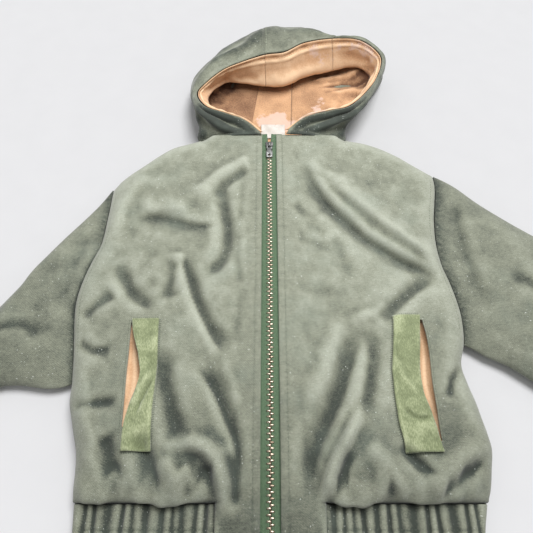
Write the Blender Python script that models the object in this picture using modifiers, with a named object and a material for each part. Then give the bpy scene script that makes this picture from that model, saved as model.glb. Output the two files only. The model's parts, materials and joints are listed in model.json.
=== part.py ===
"""Hooded blouson jacket, laid flat on its back with the zip closed and the hood open.

The floor is z = 0, +Y points from the hem to the hood, +X to the wearer's left. Drawing sizes are in
millimetres, measured from the zip line (x = 0); the mesh is written in metres about ORIGIN.
Each cloth piece is a thin sheet worked out from outlines, cross-sections and folds, then thickened.
"""

import math

import bmesh
import bpy
import numpy as np

MM = 0.001
ORIGIN = (9.59, 41.39)        # drawing point under the middle of the laid garment

# ---------------------------------------------------------------- driving sizes, mm
WALL = 1.5                 # outer cloth with its backing
THIN = 1.0                 # lining, label and zip tape
GAP = 0.3                  # between neighbouring pieces
HOOD_GAP = 0.6             # how far the centre of the hood stays from its sides, on the floor
SEAM_GAP = 0.45            # from the side seam to each sheet's middle: their rims lean towards each other
FLOOR = WALL / 2           # middle of a sheet that lies on the floor
WAIST_Y = -208.0           # seam between the panels and the gathered hem
HEM_Y = -245.0
FINEST = 8.0               # sharpest fold that the panel's grid holds
NECK_Y = 148.0
ZIP_EDGE = 7.5             # front panel edge from the zip line
STRIP_EDGE = 40.0          # flat strip beside the zip that runs down to the hem
EDGE_R = 16.0              # how softly the front rolls over at the side seam
SHOULDER_R = 14.0
WAIST_R = 15.0
BACK_R = 8.0
SEAM_Z = 8.0               # height of the side and shoulder seams
ARM_Z = 12.5               # height of the front's armhole edge
BAND_Z = 12.0              # middle of the gathered hem in front
LOOSE_Z = 24.0             # least height of the loose cloth above the hem
POCKET_LIFT = 2.5          # welt above the panel, middle to middle
BAG_DROP = 3.0             # pocket cloth below the panel at its edge
BAG_DEPTH = 5.0            # how much deeper it hangs in the mouth

# Body outline seen from above. y, half width on the wearer's right, on the wearer's left.
OUTLINE = (
    (-245, 141, 152), (-227, 143, 155), (-210, 145, 160), (-198, 147, 164), (-185, 148, 168),
    (-172, 150, 171), (-160, 154, 170), (-148, 158, 168), (-135, 162, 166), (-122, 163, 163),
    (-103, 165, 161), (-84, 168, 167), (-62, 171.5, 169), (-46, 173, 168), (-28, 171.5, 165),
    (-7, 167, 160), (17, 160.5, 159), (46, 159.5, 162), (65, 159.5, 166), (86, 160, 170), (104, 160, 171),
)
# Shoulder line from the neck to the shoulder tip. distance from the zip line, y.
SHOULDER = {
    "right": ((73, 149.4), (86, 145), (103, 139), (118, 127.7), (130, 116.5), (142, 105.6), (153, 95), (160, 86)),
    "left": ((83, 149.4), (100, 146), (118, 139), (137, 127.7), (151, 116.5), (162, 108.5), (171, 104)),
}
UNDERARM = {"right": -117.0, "left": -83.0}
SIGN = {"right": -1, "left": 1}

# Height of the front beside the zip. y, height.
ZIP_HEIGHT = (
    (-245, 14), (-228, 16), (-212, 20), (-195, 25), (-170, 29), (-130, 30), (-80, 28), (-20, 27),
    (40, 26), (95, 25), (150, 25),
)
# How far the loose cloth falls over the gathered hem. distance from the zip line, overhang right, left.
OVERHANG = (
    (40, 1, 1), (52, 2, 6), (66, 5, 7), (80, 6, 2), (95, 3, 1), (112, 1, 5), (125, 4, 3), (140, 2, 1), (165, 0, 0),
)

# Folds of the front. x1, y1, x2, y2, x3, y3: the line it follows; left, right: its softness on each side
# of that line; rise: its height, negative for a trough.
FOLDS = (
    # the wearer's left chest: long ridge from the neck to the armhole and the trough below it
    (38, 104, 92, 56, 156, 0, 22, 7, 5.5),
    (34, 106, 88, 26, 164, -44, 7, 13, -8.0),
    (143, -24, 124, -46, 112, -56, 4, 5, -3.0),
    (132, -25, 118, -40, 98, -50, 5, 5, -2.5),
    # below: folds beside the left pocket
    (74, -88, 58, -137, 22, -214, 6, 8, -6.0),
    (92, -70, 60, -100, 44, -140, 9, 8, 3.5),
    (90, -73, 92, -90, 94, -116, 4, 4, -4.0),
    (74, -130, 74, -152, 92, -164, 10, 8, -5.0),
    (84, -174, 106, -186, 124, -197, 5, 5, -4.5),
    (56, -178, 45, -195, 36, -226, 4, 4, 5.5),
    (62, -218, 84, -204, 122, -193, 5, 8, 3.5),
    (165, -171, 142, -190, 112, -210, 5, 4, 4.0),
    (158, -104, 146, -120, 138, -138, 6, 4, -3.5),
    # the wearer's right chest
    (-20, 114, -46, 97, -80, 68, 7, 12, 3.5),
    (-12, 110, -30, 90, -54, 80, 5, 5, -3.5),
    (-52, 88, -43, 30, -60, -20, 6, 7, -5.0),
    (-128, 28, -100, 34, -56, 21, 12, 10, -3.0),
    (-90, 4, -87, -20, -90, -42, 6, 5, -4.0),
    (-80, -6, -66, -45, -28, -96, 6, 8, -5.0),
    (-146, -70, -136, -64, -120, -54, 6, 8, -4.0),
    (-122, 102, -142, 66, -152, 12, 9, 12, 3.5),
    # below: folds beside the right pocket
    (-59, -104, -38, -146, -25, -202, 7, 8, -5.0),
    (-52, -168, -38, -182, -31, -216, 5, 4, -5.0),
    (-44, -180, -38, -200, -30, -228, 4, 4, 6.0),
    (-84, -68, -84, -130, -68, -186, 9, 8, -5.5),
    (-82, -180, -66, -197, -50, -184, 5, 5, 3.5),
    (-89, -182, -80, -196, -69, -214, 5, 5, -4.0),
    (-154, -141, -136, -139, -116, -137, 4, 4, -3.0),
    (-122, -172, -123, -184, -120, -198, 8, 8, -4.0),
    (-166, -74, -149, -90, -130, -86, 5, 5, -2.5),
)

# Valleys between the gathers of the hem. x of the valley; half width; depth
GATHERS = (
    (-136, 4, 2.2), (-128, 3, 2.8), (-119, 4, 2.4), (-109, 3, 3.0), (-100, 4, 1.6), (-91, 3, 3.0),
    (-80, 4, 2.6), (-71, 3, 1.8), (-64, 4, 2.4), (-56, 3, 2.6), (-48, 3, 3.0),
    (46, 3, 2.8), (53, 3, 2.4), (61, 4, 1.8), (69, 3, 3.0), (77, 3, 2.4), (86, 3, 2.8), (95, 4, 1.8),
    (104, 4, 2.2), (114, 3, 3.0), (123, 3, 2.6), (134, 4, 2.4), (143, 3, 2.8), (151, 3, 2.2),
)
BACK_GATHER = {"pitch": 9.5, "rise": 1.6}

# Pocket mouth. y, sewn edge of the welt, its free edge, far edge of the mouth: distances from the zip line.
POCKETS = {
    "right": (
        (-67, 94.5, 117.5, 118.7), (-82, 93.5, 114, 117.8), (-99, 92.5, 107.6, 116.4), (-116, 91.8, 103.8, 115.4),
        (-133, 91.2, 105.6, 114), (-144, 90.8, 108.9, 113.4), (-156, 90.2, 111, 112.9), (-175, 89.3, 111.4, 112.2),
    ),
    "left": (
        (-63, 105.9, 129, 130.2), (-81, 103.6, 125.5, 132), (-99, 100.5, 122.6, 131.5), (-112, 98, 120, 130.2),
        (-124, 97.3, 119.3, 129.2), (-135, 96.8, 120, 129), (-145, 97, 122.5, 128.8), (-157, 97.5, 124.8, 128.4),
        (-176, 101, 128.2, 128.9),
    ),
}

# Cut through the panel. narrowest mouth that is cut; how far it runs under the welt; bottom and height of the cutter.
MOUTH = {"least": 1.5, "under": 2.5, "low": 8.0, "tall": 50.0}

# Sleeves. outer edge x, y; inner edge x, y; height: one row for each section, armhole first (row 0 is the seam).
SLEEVES = {
    "right": (
        (172, 66, 172, -120, 16), (184, 47, 183, -121.5, 20), (197, 28, 194, -120.5, 22), (209, 9, 205, -119, 23),
        (219, -8, 215, -118.5, 23), (227, -27, 226, -120, 23), (243, -50, 247, -130, 23), (268, -72, 264, -148, 22),
        (304, -98, 290, -180, 21), (352, -131, 318, -213, 20), (414, -165, 352, -245, 18),
    ),
    "left": (
        (183, 97, 178, -88, 17), (194, 87, 186, -93.5, 20), (212, 67, 195, -98, 22), (236, 45, 206, -104, 24),
        (262, 24, 226, -119, 24), (296, -4, 256, -143, 23), (330, -34, 286, -165, 22), (365, -67, 316, -184, 21),
        (400, -103, 342, -199, 20), (433, -135, 367, -209, 18),
    ),
}

# Hood, from the zip round the opening and back to it. One row for each section: rim point, top of the roll
# outside it, widest point, and the point of the floor seam it runs to.
HOOD = (
    # rim x, y, z; roll x, y, z; wide x, y, z; seam x, y
    (-8, 149.5, 27, -42, 150, 24, -74, 150.5, 8, -24, 151),
    (-26, 161.5, 34, -52, 154, 28, -78, 160, 13, -22.5, 164),
    (-47, 167.5, 38, -65, 164, 33, -76, 172, 14, -21, 176),
    (-69.5, 179, 37, -77, 178, 32, -81, 190, 15, -19.3, 190),
    (-81, 202.5, 33, -86, 205, 28, -88, 217, 15, -17.4, 205),
    (-71.5, 214.5, 38, -81, 223, 36, -89, 240, 17, -15.6, 220),
    (-53, 230, 43, -64, 243, 44, -76, 266, 18, -13.8, 235),
    (-33, 239.5, 46, -42, 259, 49, -51, 294, 20, -12.2, 248),
    (-6, 250.5, 48, -7, 282, 57, -8, 321, 20, -11, 258),
    (18, 254.5, 49, 20, 283, 57, 24, 325, 20, 5, 258),
    (41, 269, 50, 47, 286, 55, 55, 317, 20, 18, 258),
    (74, 276.5, 50, 80, 281, 48, 88, 298, 19, 28, 258),
    (105.5, 276.5, 48, 112, 280, 46, 120, 287, 18, 27.5, 245),
    (126, 258, 45, 132, 260, 40, 136, 264, 17, 27, 232),
    (128, 239.5, 42, 132, 240, 35, 127, 238, 16, 26.5, 218),
    (115, 209, 40, 117, 207, 32, 108, 210, 15, 26, 205),
    (89, 176.5, 41, 94, 173, 33, 93, 188, 14, 25.5, 190),
    (65, 169, 40, 75, 163, 31, 84.5, 174, 12, 25, 176),
    (38, 163.5, 36, 60, 155, 27, 84, 160, 10, 24.5, 164),
    (18, 151.5, 28, 50, 150, 24, 82, 150.5, 8, 24, 151),
)
# The lining inside each of those sections: edge of the facing fold, deepest corner, and where it meets the floor.
HOOD_LINING = (
    # fold x, y, z; deep x, y, z; floor x, y
    (-32, 155, 20, -58, 155, 13, -56, 156),
    (-38, 167, 24, -62, 166, 13, -60, 168),
    (-50, 175, 26, -66, 178, 13, -62, 180),
    (-62, 187, 24, -71, 191, 12, -64, 191),
    (-70, 207, 22, -76, 214, 12, -66, 212),
    (-62, 227, 19, -77, 238, 14, -66, 235),
    (-49, 242, 16, -64, 259, 15, -56, 252),
    (-32, 243, 14, -42, 282, 16, -36, 268),
    (-4, 240, 13, -8, 297, 17, -9, 280),
    (18, 241, 13, 22, 301, 17, 12, 284),
    (44, 254, 14, 52, 298, 17, 34, 282),
    (77, 263, 16, 84, 288, 16, 62, 272),
    (103, 267, 19, 108, 274, 14, 84, 260),
    (117, 255, 22, 119, 254, 12, 96, 246),
    (118, 238, 24, 116, 236, 12, 98, 230),
    (106, 212, 24, 99, 213, 12, 84, 211),
    (84, 187, 25, 83, 191, 12, 70, 192),
    (61, 178, 26, 72, 179, 11, 62, 180),
    (45, 169, 24, 69, 167, 10, 60, 168),
    (40, 155, 19, 66, 155, 10, 58, 156),
)
HOOD_MIDDLE = (20.0, 212.0)          # middle of the opening
CENTRE_ROWS = (8.0, 11.0)            # rows between which the centre panel lies
ROW_GAP = 0.012                      # its seams, as a share of a row
NAPE = {"right": (-24, 151), "left": (24, 151)}
LINING_FLOOR = 3.4

LABEL = {"x": (-9, 18), "y": (163, 184)}

ZIP = {"tape_in": 0.7, "tape_out": 13.5, "top": 151.0}
SLIDER = {"y": 133.0, "length": 11.0, "width": 8.0, "plate": 1.0, "room": 1.5, "post": 0.8, "sink": 0.4}
BRIDGE = {"low": 129.6, "high": 136.4, "wire": 1.0, "width": 1.5, "room": 2.3}
PULL = {"axis_y": 131.7, "length": 15.5, "width": 6.8, "thick": 1.0, "hole": 3.4, "side": 2.0, "bar": 0.5, "tilt": 4.0}
PULL_SLOT = {"half": 1.6, "from_end": 2.2, "tall": 1.6}

COLOURS = {
    "shell": ((0.27, 0.295, 0.22), 0.85, 0.0),
    "lining": ((0.60, 0.39, 0.235), 0.9, 0.0),
    "welt": ((0.28, 0.32, 0.165), 0.95, 0.0),
    "tape": ((0.11, 0.19, 0.10), 0.8, 0.0),
    "metal": ((0.42, 0.41, 0.38), 0.35, 1.0),
    "label": ((0.80, 0.78, 0.74), 0.8, 0.0),
}


# ---------------------------------------------------------------- small helpers
def smooth(value, low, high):
    """0 below low, 1 above high, with a soft change between."""
    t = np.clip((np.asarray(value, float) - low) / (high - low), 0, 1)
    return t * t * (3 - 2 * t)


def spline(rows, at):
    """Catmull-Rom curve through rows (one point a row), at row positions such as 2.5."""
    rows = np.asarray(rows, float)
    at = np.clip(np.asarray(at, float), 0, len(rows) - 1)
    i = np.minimum(at.astype(int), len(rows) - 2)
    t = (at - i)[..., None]
    before = np.where((i > 0)[..., None], rows[np.maximum(i - 1, 0)], 2 * rows[i] - rows[i + 1])
    last = len(rows) - 1
    after = np.where((i + 2 <= last)[..., None], rows[np.minimum(i + 2, last)], 2 * rows[i + 1] - rows[i])
    a, b = rows[i], rows[i + 1]
    return 0.5 * (
        2 * a + (b - before) * t + (2 * before - 5 * a + 4 * b - after) * t**2
        + (3 * a - before - 3 * b + after) * t**3
    )


def lookup(table, x, column=1):
    """Smooth value of a column at x, for a table sorted by its first column."""
    table = np.asarray(table, float)
    where = np.interp(x, table[:, 0], np.arange(len(table)))
    return spline(table[:, column:column + 1], where)[..., 0]


def roll(distance, radius):
    """Rise of a quarter circle: 0 at the edge, 1 from one radius inwards."""
    left = 1 - np.clip(distance / radius, 0, 1)
    return np.sqrt(np.maximum(0, 1 - left**2))


def edge_steps(radius, count):
    """Distances from an edge at even angles of its roll."""
    angles = np.linspace(0, math.pi / 2, count + 1)
    return radius * (1 - np.cos(angles))


# ---------------------------------------------------------------- body shape
def half_width(side, y):
    return lookup(OUTLINE, y, 1 if side == "right" else 2)


def shoulder_tip(side):
    return SHOULDER[side][-1]


def top_line(side, x):
    """y of the neckline and the shoulder at this distance from the zip line."""
    return np.where(x < SHOULDER[side][0][0], NECK_Y, lookup(SHOULDER[side], x))


def armhole_opening(side, y):
    """0 at the shoulder tip and the underarm, 1 half way, where the armhole is widest."""
    tip, under = shoulder_tip(side)[1], UNDERARM[side]
    c = np.clip((np.asarray(y, float) - under) / (tip - under), 0, 1) * 2 - 1
    return np.sqrt(np.maximum(0, 1 - c * c))


def fold_heights(x, y):
    """Sum of the folds at each point."""
    total = np.zeros_like(x)
    steps = np.linspace(0, 1, 25)
    for x1, y1, x2, y2, x3, y3, left, right, rise in FOLDS:
        bend = np.array([2 * x2 - (x1 + x3) / 2, 2 * y2 - (y1 + y3) / 2])
        t = steps[:, None]
        line = (1 - t) ** 2 * np.array([x1, y1]) + 2 * t * (1 - t) * bend + t**2 * np.array([x3, y3])
        along = np.gradient(line, axis=0)
        along /= np.linalg.norm(along, axis=1)[:, None]
        dx = x[..., None] - line[:, 0]
        dy = y[..., None] - line[:, 1]
        squared = dx**2 + dy**2
        nearest = squared.argmin(axis=-1)
        gap = np.sqrt(np.take_along_axis(squared, nearest[..., None], -1)[..., 0])
        side = along[nearest, 0] * np.take_along_axis(dy, nearest[..., None], -1)[..., 0]
        side = side - along[nearest, 1] * np.take_along_axis(dx, nearest[..., None], -1)[..., 0]
        softness = np.maximum(np.where(side > 0, left, right), FINEST)
        where = steps[nearest]
        fade = smooth(where, 0, 0.25) * smooth(1 - where, 0, 0.25)
        total += rise * np.exp(-((gap / softness) ** 2)) * fade
    return total


def front_height(side, x, y):
    """Height of the middle of the front panel; x is the distance from the zip line."""
    width = half_width(side, np.minimum(y, shoulder_tip(side)[1]))
    middle = lookup(ZIP_HEIGHT, y)
    swell = 4.0 * smooth(-y, 60, 170) * smooth(x, 30, 90)
    base = middle + swell - 7.0 * np.clip(x / width, 0, 1) ** 2
    folds = fold_heights(SIGN[side] * x, y) * smooth(x, 15, 28)
    height = base + folds
    loose = smooth(x, STRIP_EDGE - 6, STRIP_EDGE + 8)
    fuller = np.maximum(height, LOOSE_Z)
    low = smooth(-y, 175, 200) * loose
    height = height * (1 - low) + fuller * low
    edge = SEAM_Z + SEAM_GAP + (ARM_Z - SEAM_Z) * armhole_opening(side, y)
    at_side = roll(width - x, EDGE_R)
    on_shoulder = smooth(x, SHOULDER[side][0][0] - 15, SHOULDER[side][0][0] + 4)
    at_shoulder = 1 - on_shoulder + on_shoulder * roll(0.8 * (top_line(side, x) - y), SHOULDER_R)
    height = edge + (height - edge) * at_side * at_shoulder
    at_waist = 1 - loose + loose * roll(y - WAIST_Y, WAIST_R)
    return BAND_Z + (height - BAND_Z) * at_waist


def overhang(side, x, y):
    """How far the cloth above the hem falls towards it."""
    rise = roll(y - WAIST_Y, WAIST_R)
    bulge = 2 * rise * np.sqrt(np.maximum(0, 1 - rise**2)) * smooth(rise, 0.1, 0.6)
    return lookup(OVERHANG, np.clip(x, 40, 165), 1 if side == "right" else 2) * bulge * smooth(x, 40, 50)


def waist_edges(side, strip, outer):
    """Positions across the panel, from the zip to the side seam, as fractions."""
    width = float(half_width(side, WAIST_Y))
    flat = np.linspace(ZIP_EDGE, STRIP_EDGE, strip + 1)
    loose = np.linspace(STRIP_EDGE, width - EDGE_R, outer + 1)[1:]
    rolled = (width - edge_steps(EDGE_R, 5))[::-1][1:]
    return (np.concatenate([flat, loose, rolled]) - ZIP_EDGE) / (width - ZIP_EDGE)


def front_sheet(side, strip=3, outer=11, rows=25, hem_rows=4):
    """Grid of the front panel and the faces it has: the part below the waist is only beside the zip."""
    across = waist_edges(side, strip, outer)
    span = NECK_Y - WAIST_Y
    low = edge_steps(WAIST_R, 4)
    high = span - edge_steps(SHOULDER_R, 4)[::-1]
    up = np.concatenate([low, np.linspace(WAIST_R, span - SHOULDER_R, rows)[1:-1], high]) / span
    u, v = np.meshgrid(across, up)
    tip = shoulder_tip(side)
    top = top_line(side, ZIP_EDGE + (tip[0] - ZIP_EDGE) * u)
    y = WAIST_Y + (top - WAIST_Y) * v
    x = ZIP_EDGE + (half_width(side, np.minimum(y, tip[1])) - ZIP_EDGE) * u
    hem_v = np.linspace(HEM_Y, WAIST_Y, hem_rows + 1)[:-1]
    hem_x = np.broadcast_to(x[0], (hem_rows, len(across)))
    x = np.concatenate([hem_x, x])
    y = np.concatenate([np.broadcast_to(hem_v[:, None], hem_x.shape), y])
    z = front_height(side, x, y)
    moved = y - np.where(y > WAIST_Y, overhang(side, x, y), 0)
    points = np.stack([SIGN[side] * x, moved, z], axis=-1)
    used = np.ones((len(y) - 1, len(across) - 1), bool)
    used[:hem_rows, strip:] = False
    return points, used


def back_sheet(columns=14, rows=14):
    """Grid of the back panel: flat on the floor, curling up to the side and shoulder seams."""
    widest = max(float(half_width(s, WAIST_Y)) for s in SIGN)
    steps = edge_steps(BACK_R, 3) / widest
    right = np.concatenate([[-1], -1 + steps[1:]])
    across = np.concatenate([right, np.linspace(-1 + steps[-1], 1 - steps[-1], columns)[1:-1], -right[::-1]])
    span = NECK_Y - WAIST_Y
    up = np.concatenate([np.linspace(0, span - BACK_R, rows)[:-1], span - edge_steps(BACK_R, 3)[::-1]]) / span
    u, v = np.meshgrid(across, up)
    x, y, z = np.zeros_like(u), np.zeros_like(u), np.zeros_like(u)
    for side, sign in SIGN.items():
        tip = shoulder_tip(side)
        top = top_line(side, tip[0] * np.abs(u)) + GAP
        sy = WAIST_Y + (top - WAIST_Y) * v
        width = half_width(side, np.minimum(sy, tip[1]))
        sx = width * np.abs(u)
        neck = smooth(sx, SHOULDER[side][0][0] - 12, SHOULDER[side][0][0] + 2)
        open_arm = (1 - armhole_opening(side, sy)) ** 2
        side_lift = (1 - roll(width - sx, BACK_R)) * open_arm
        shoulder_lift = (1 - roll(0.8 * (top - sy), BACK_R)) * neck
        lift = np.maximum(side_lift, shoulder_lift)
        sz = FLOOR + (SEAM_Z - SEAM_GAP - FLOOR) * lift
        mine = (u * sign >= 0)
        x, y, z = np.where(mine, sign * sx, x), np.where(mine, sy, y), np.where(mine, sz, z)
    return np.stack([x, y, z], axis=-1)


def sleeve_rings(side, rings=13, around=24):
    """Rings of the laid sleeve, from the armhole seam to the cuff."""
    tip, under = shoulder_tip(side)[1], UNDERARM[side]
    seam_gap = WALL / 2 + GAP + 0.7
    c = np.cos(np.linspace(0, 2 * math.pi, around, endpoint=False))
    upper = np.arange(around) < around / 2
    seam_y = tip + (under - tip) * (1 + c) / 2
    first = (float(half_width(side, tip)) + seam_gap, tip, float(half_width(side, under)) + seam_gap, under, ARM_Z)
    rows = np.array([first] + list(SLEEVES[side]), float)
    at = np.linspace(0, len(rows) - 1, rings)
    points = np.zeros((rings, around, 3))
    for k, row in enumerate(spline(rows, at)):
        ux, uy, lx, ly, height = row
        x = ux + (lx - ux) * (1 + c) / 2
        y = uy + (ly - uy) * (1 + c) / 2
        straight = first[0] + (first[2] - first[0]) * (1 + c) / 2
        bow = (half_width(side, seam_y) + seam_gap - straight) * max(0.0, 1 - at[k] / 2.5) ** 1.5
        x = x + bow
        swell = np.sqrt(np.maximum(0, 1 - c * c))
        z_top = SEAM_Z + (height - SEAM_Z) * swell
        z_low = FLOOR + (SEAM_Z - FLOOR) * (1 - swell) ** 2
        z = np.where(upper, z_top, z_low)
        points[k] = np.stack([SIGN[side] * x, y, z], axis=-1)
    return points


# ---------------------------------------------------------------- hood
def hood_outer(at, across):
    """Points of the outer hood. at: row positions; across: 0 at the floor seam, 1 at the rim."""
    rows = spline(HOOD, at)
    points = np.zeros((len(at), len(across), 3))
    for k, row in enumerate(rows):
        rim, top, wide = row[0:3], row[3:6], row[6:9]
        seam = np.array([row[9], row[10], FLOOR])
        inward = (seam - wide) * (1, 1, 0)
        reach = np.linalg.norm(inward)
        foot = wide + inward * min(0.8, 11 / reach)
        foot[2] = FLOOR
        path = spline([seam, foot, wide, top, rim], np.interp(across, (0, 0.25, 0.5, 0.75, 1), range(5)))
        path[:, 2] = np.maximum(path[:, 2], FLOOR)
        points[k] = path
    return points


def hood_lining(at, across):
    """Points of the hood lining. across: 0 at the floor seam, 1 at the rim."""
    outer = spline(HOOD, at)
    inner = spline(HOOD_LINING, at)
    points = np.zeros((len(at), len(across), 3))
    for k in range(len(at)):
        rim = outer[k, 0:3].copy()
        inward = np.array([HOOD_MIDDLE[0] - rim[0], HOOD_MIDDLE[1] - rim[1], 0])
        rim += inward / np.linalg.norm(inward) * 2.0 + np.array([0, 0.6, -0.6])
        fold, deep = inner[k, 0:3], inner[k, 3:6]
        floor = np.array([inner[k, 6], inner[k, 7], LINING_FLOOR])
        seam = np.array([outer[k, 9], max(outer[k, 10], 155), LINING_FLOOR])
        band = (rim + fold) / 2 + np.array([0, 0, 2.0])
        corner = (deep + floor) / 2 + np.array([0, 0, -2.5])
        stops = [seam, (seam + floor) / 2, floor, corner, deep, fold, band, rim]
        path = spline(stops, np.asarray(across) * (len(stops) - 1))
        path[:, 2] = np.maximum(path[:, 2], LINING_FLOOR - 0.4)
        points[k] = path
    return points


def centre_floor(from_points, count, level, low_y):
    """The rest of the centre panel, along the floor from the nape to where its curved part begins."""
    share = np.linspace(0, 1, len(from_points))
    nape_x = NAPE["right"][0] + (NAPE["left"][0] - NAPE["right"][0]) * share
    nape = np.stack([nape_x, np.full_like(nape_x, low_y), np.full_like(nape_x, level)], axis=-1)
    steps = np.linspace(0, 1, count, endpoint=False)[None, :, None]
    grid = nape[:, None] * (1 - steps) + from_points[:, None] * steps
    grid[..., 2] = level
    return grid


# ---------------------------------------------------------------- meshes
def material(name):
    colour, rough, metal = COLOURS[name]
    made = bpy.data.materials.get(name) or bpy.data.materials.new(name)
    made.use_nodes = True
    shader = made.node_tree.nodes["Principled BSDF"]
    shader.inputs["Base Color"].default_value = (*colour, 1)
    shader.inputs["Roughness"].default_value = rough
    shader.inputs["Metallic"].default_value = metal
    return made


def new_object(name, verts, faces, look, group):
    mesh = bpy.data.meshes.new(name)
    placed = (np.asarray(verts, float) - (ORIGIN[0], ORIGIN[1], 0)) * MM
    mesh.from_pydata(placed.tolist(), [], faces)
    mesh.materials.append(material(look))
    mesh.shade_smooth()
    obj = bpy.data.objects.new(name, mesh)
    group.objects.link(obj)
    return obj


def sheet(name, points, look, group, wall=WALL, used=None, flip=False, ring=False):
    """A grid of points as an open surface, thickened to both sides."""
    rows, columns = points.shape[:2]
    verts = points.reshape(-1, 3)
    faces = []
    for r in range(rows - 1):
        for c in range(columns if ring else columns - 1):
            if used is not None and not used[r, c]:
                continue
            d = (c + 1) % columns
            face = (r * columns + c, r * columns + d, (r + 1) * columns + d, (r + 1) * columns + c)
            faces.append(face[::-1] if flip else face)
    obj = new_object(name, verts, faces, look, group)
    mesh = obj.data
    loose = bmesh.new()
    loose.from_mesh(mesh)
    bmesh.ops.delete(loose, geom=[v for v in loose.verts if not v.link_faces], context="VERTS")
    loose.to_mesh(mesh)
    loose.free()
    thick = obj.modifiers.new("wall", "SOLIDIFY")
    thick.thickness = wall * MM
    thick.offset = 0
    thick.use_even_offset = False
    return obj


def box(low, high):
    """Corners and faces of a box, as a bmesh."""
    made = bmesh.new()
    bmesh.ops.create_cube(made, size=1)
    size = np.subtract(high, low)
    middle = np.add(high, low) / 2
    for v in made.verts:
        v.co = [(v.co[i] * size[i] + middle[i]) for i in range(3)]
    return made


def joined_boxes(name, boxes, look, group, place=(0, 0, 0)):
    """One body from overlapping boxes; place is the object's own origin, in drawing millimetres."""
    origin = np.array(place, float)
    parts = []
    for k, (low, high) in enumerate(boxes):
        shape = box(np.subtract(low, origin) * MM, np.subtract(high, origin) * MM)
        mesh = bpy.data.meshes.new(f"{name} {k}")
        shape.to_mesh(mesh)
        shape.free()
        parts.append(bpy.data.objects.new(f"{name} {k}", mesh))
    base = parts[0]
    base.name = name
    base.data.materials.append(material(look))
    group.objects.link(base)
    base.location = ((origin - (ORIGIN[0], ORIGIN[1], 0)) * MM).tolist()
    for other in parts[1:]:
        cutters().objects.link(other)
        hide(other)
        other.location = base.location
        union = base.modifiers.new(other.name, "BOOLEAN")
        union.operation = "UNION"
        union.solver = "EXACT"
        union.object = other
    return base, parts[1:]


def cutters():
    return bpy.data.collections["cutters"]


def hide(obj):
    obj.hide_render = True
    obj.display_type = "WIRE"


def cut(obj, cutter):
    cutters().objects.link(cutter)
    hide(cutter)
    hole = obj.modifiers.new(cutter.name, "BOOLEAN")
    hole.operation = "DIFFERENCE"
    hole.solver = "EXACT"
    hole.object = cutter


# ---------------------------------------------------------------- pieces
def make_body(group):
    for side, sign in SIGN.items():
        points, used = front_sheet(side)
        panel = sheet(f"front_{side}", points, "shell", group, used=used, flip=sign < 0)
        cut(panel, mouth_cutter(side))
        rings = sleeve_rings(side)
        sheet(f"sleeve_{side}", rings, "shell", group, ring=True, flip=sign > 0)
    sheet("back", back_sheet(), "shell", group)


def mouth_cutter(side):
    """Prism through the panel between the welt's free edge and the far edge of the pocket mouth."""
    rows = [row for row in POCKETS[side] if row[3] - row[2] > MOUTH["least"]]
    near = [(row[2] - MOUTH["under"], row[0]) for row in rows]
    far = [(row[3], row[0]) for row in rows[::-1]]
    outline = [(SIGN[side] * x, y) for x, y in near + far]
    shape = bmesh.new()
    ring = [shape.verts.new(((x - ORIGIN[0]) * MM, (y - ORIGIN[1]) * MM, MOUTH["low"] * MM)) for x, y in outline]
    face = shape.faces.new(ring)
    raised = bmesh.ops.extrude_face_region(shape, geom=[face])
    for item in raised["geom"]:
        if isinstance(item, bmesh.types.BMVert):
            item.co.z += MOUTH["tall"] * MM
    bmesh.ops.recalc_face_normals(shape, faces=shape.faces)
    mesh = bpy.data.meshes.new(f"mouth {side}")
    shape.to_mesh(mesh)
    shape.free()
    return bpy.data.objects.new(f"mouth {side}", mesh)


def make_pockets(group):
    for side, sign in SIGN.items():
        rows = spline(POCKETS[side], np.linspace(0, len(POCKETS[side]) - 1, 12))
        across = np.linspace(0, 1, 5)
        x = rows[:, 1:2] + (rows[:, 2:3] - rows[:, 1:2]) * across
        y = np.broadcast_to(rows[:, 0:1], x.shape)
        lift = POCKET_LIFT + 1.2 * across**2 * smooth(rows[:, 3:4] - rows[:, 2:3], 0, 8)
        z = front_height(side, x, y) + lift
        welt = np.stack([sign * x, y, z], axis=-1)
        sheet(f"pocket_welt_{side}", welt, "welt", group, flip=sign > 0)
        reach = np.linspace(0, 1, 8)
        x = rows[:, 1:2] + 3 + (rows[:, 3:4] + 9 - rows[:, 1:2] - 3) * reach
        deep = np.exp(-(((x - (rows[:, 2:3] + rows[:, 3:4]) / 2) / 9) ** 2))
        deep = deep * smooth(rows[:, 3:4] - rows[:, 2:3], 0, 7)
        z = front_height(side, x, np.broadcast_to(rows[:, 0:1], x.shape)) - BAG_DROP - BAG_DEPTH * deep
        bag = np.stack([sign * x, np.broadcast_to(rows[:, 0:1], x.shape), z], axis=-1)
        sheet(f"pocket_bag_{side}", bag, "lining", group, wall=THIN, flip=sign > 0)


def gather_depth(x):
    total = np.zeros_like(x)
    for place, half, depth in GATHERS:
        total += depth * np.exp(-(((x - place) / half) ** 2))
    return total


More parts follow.
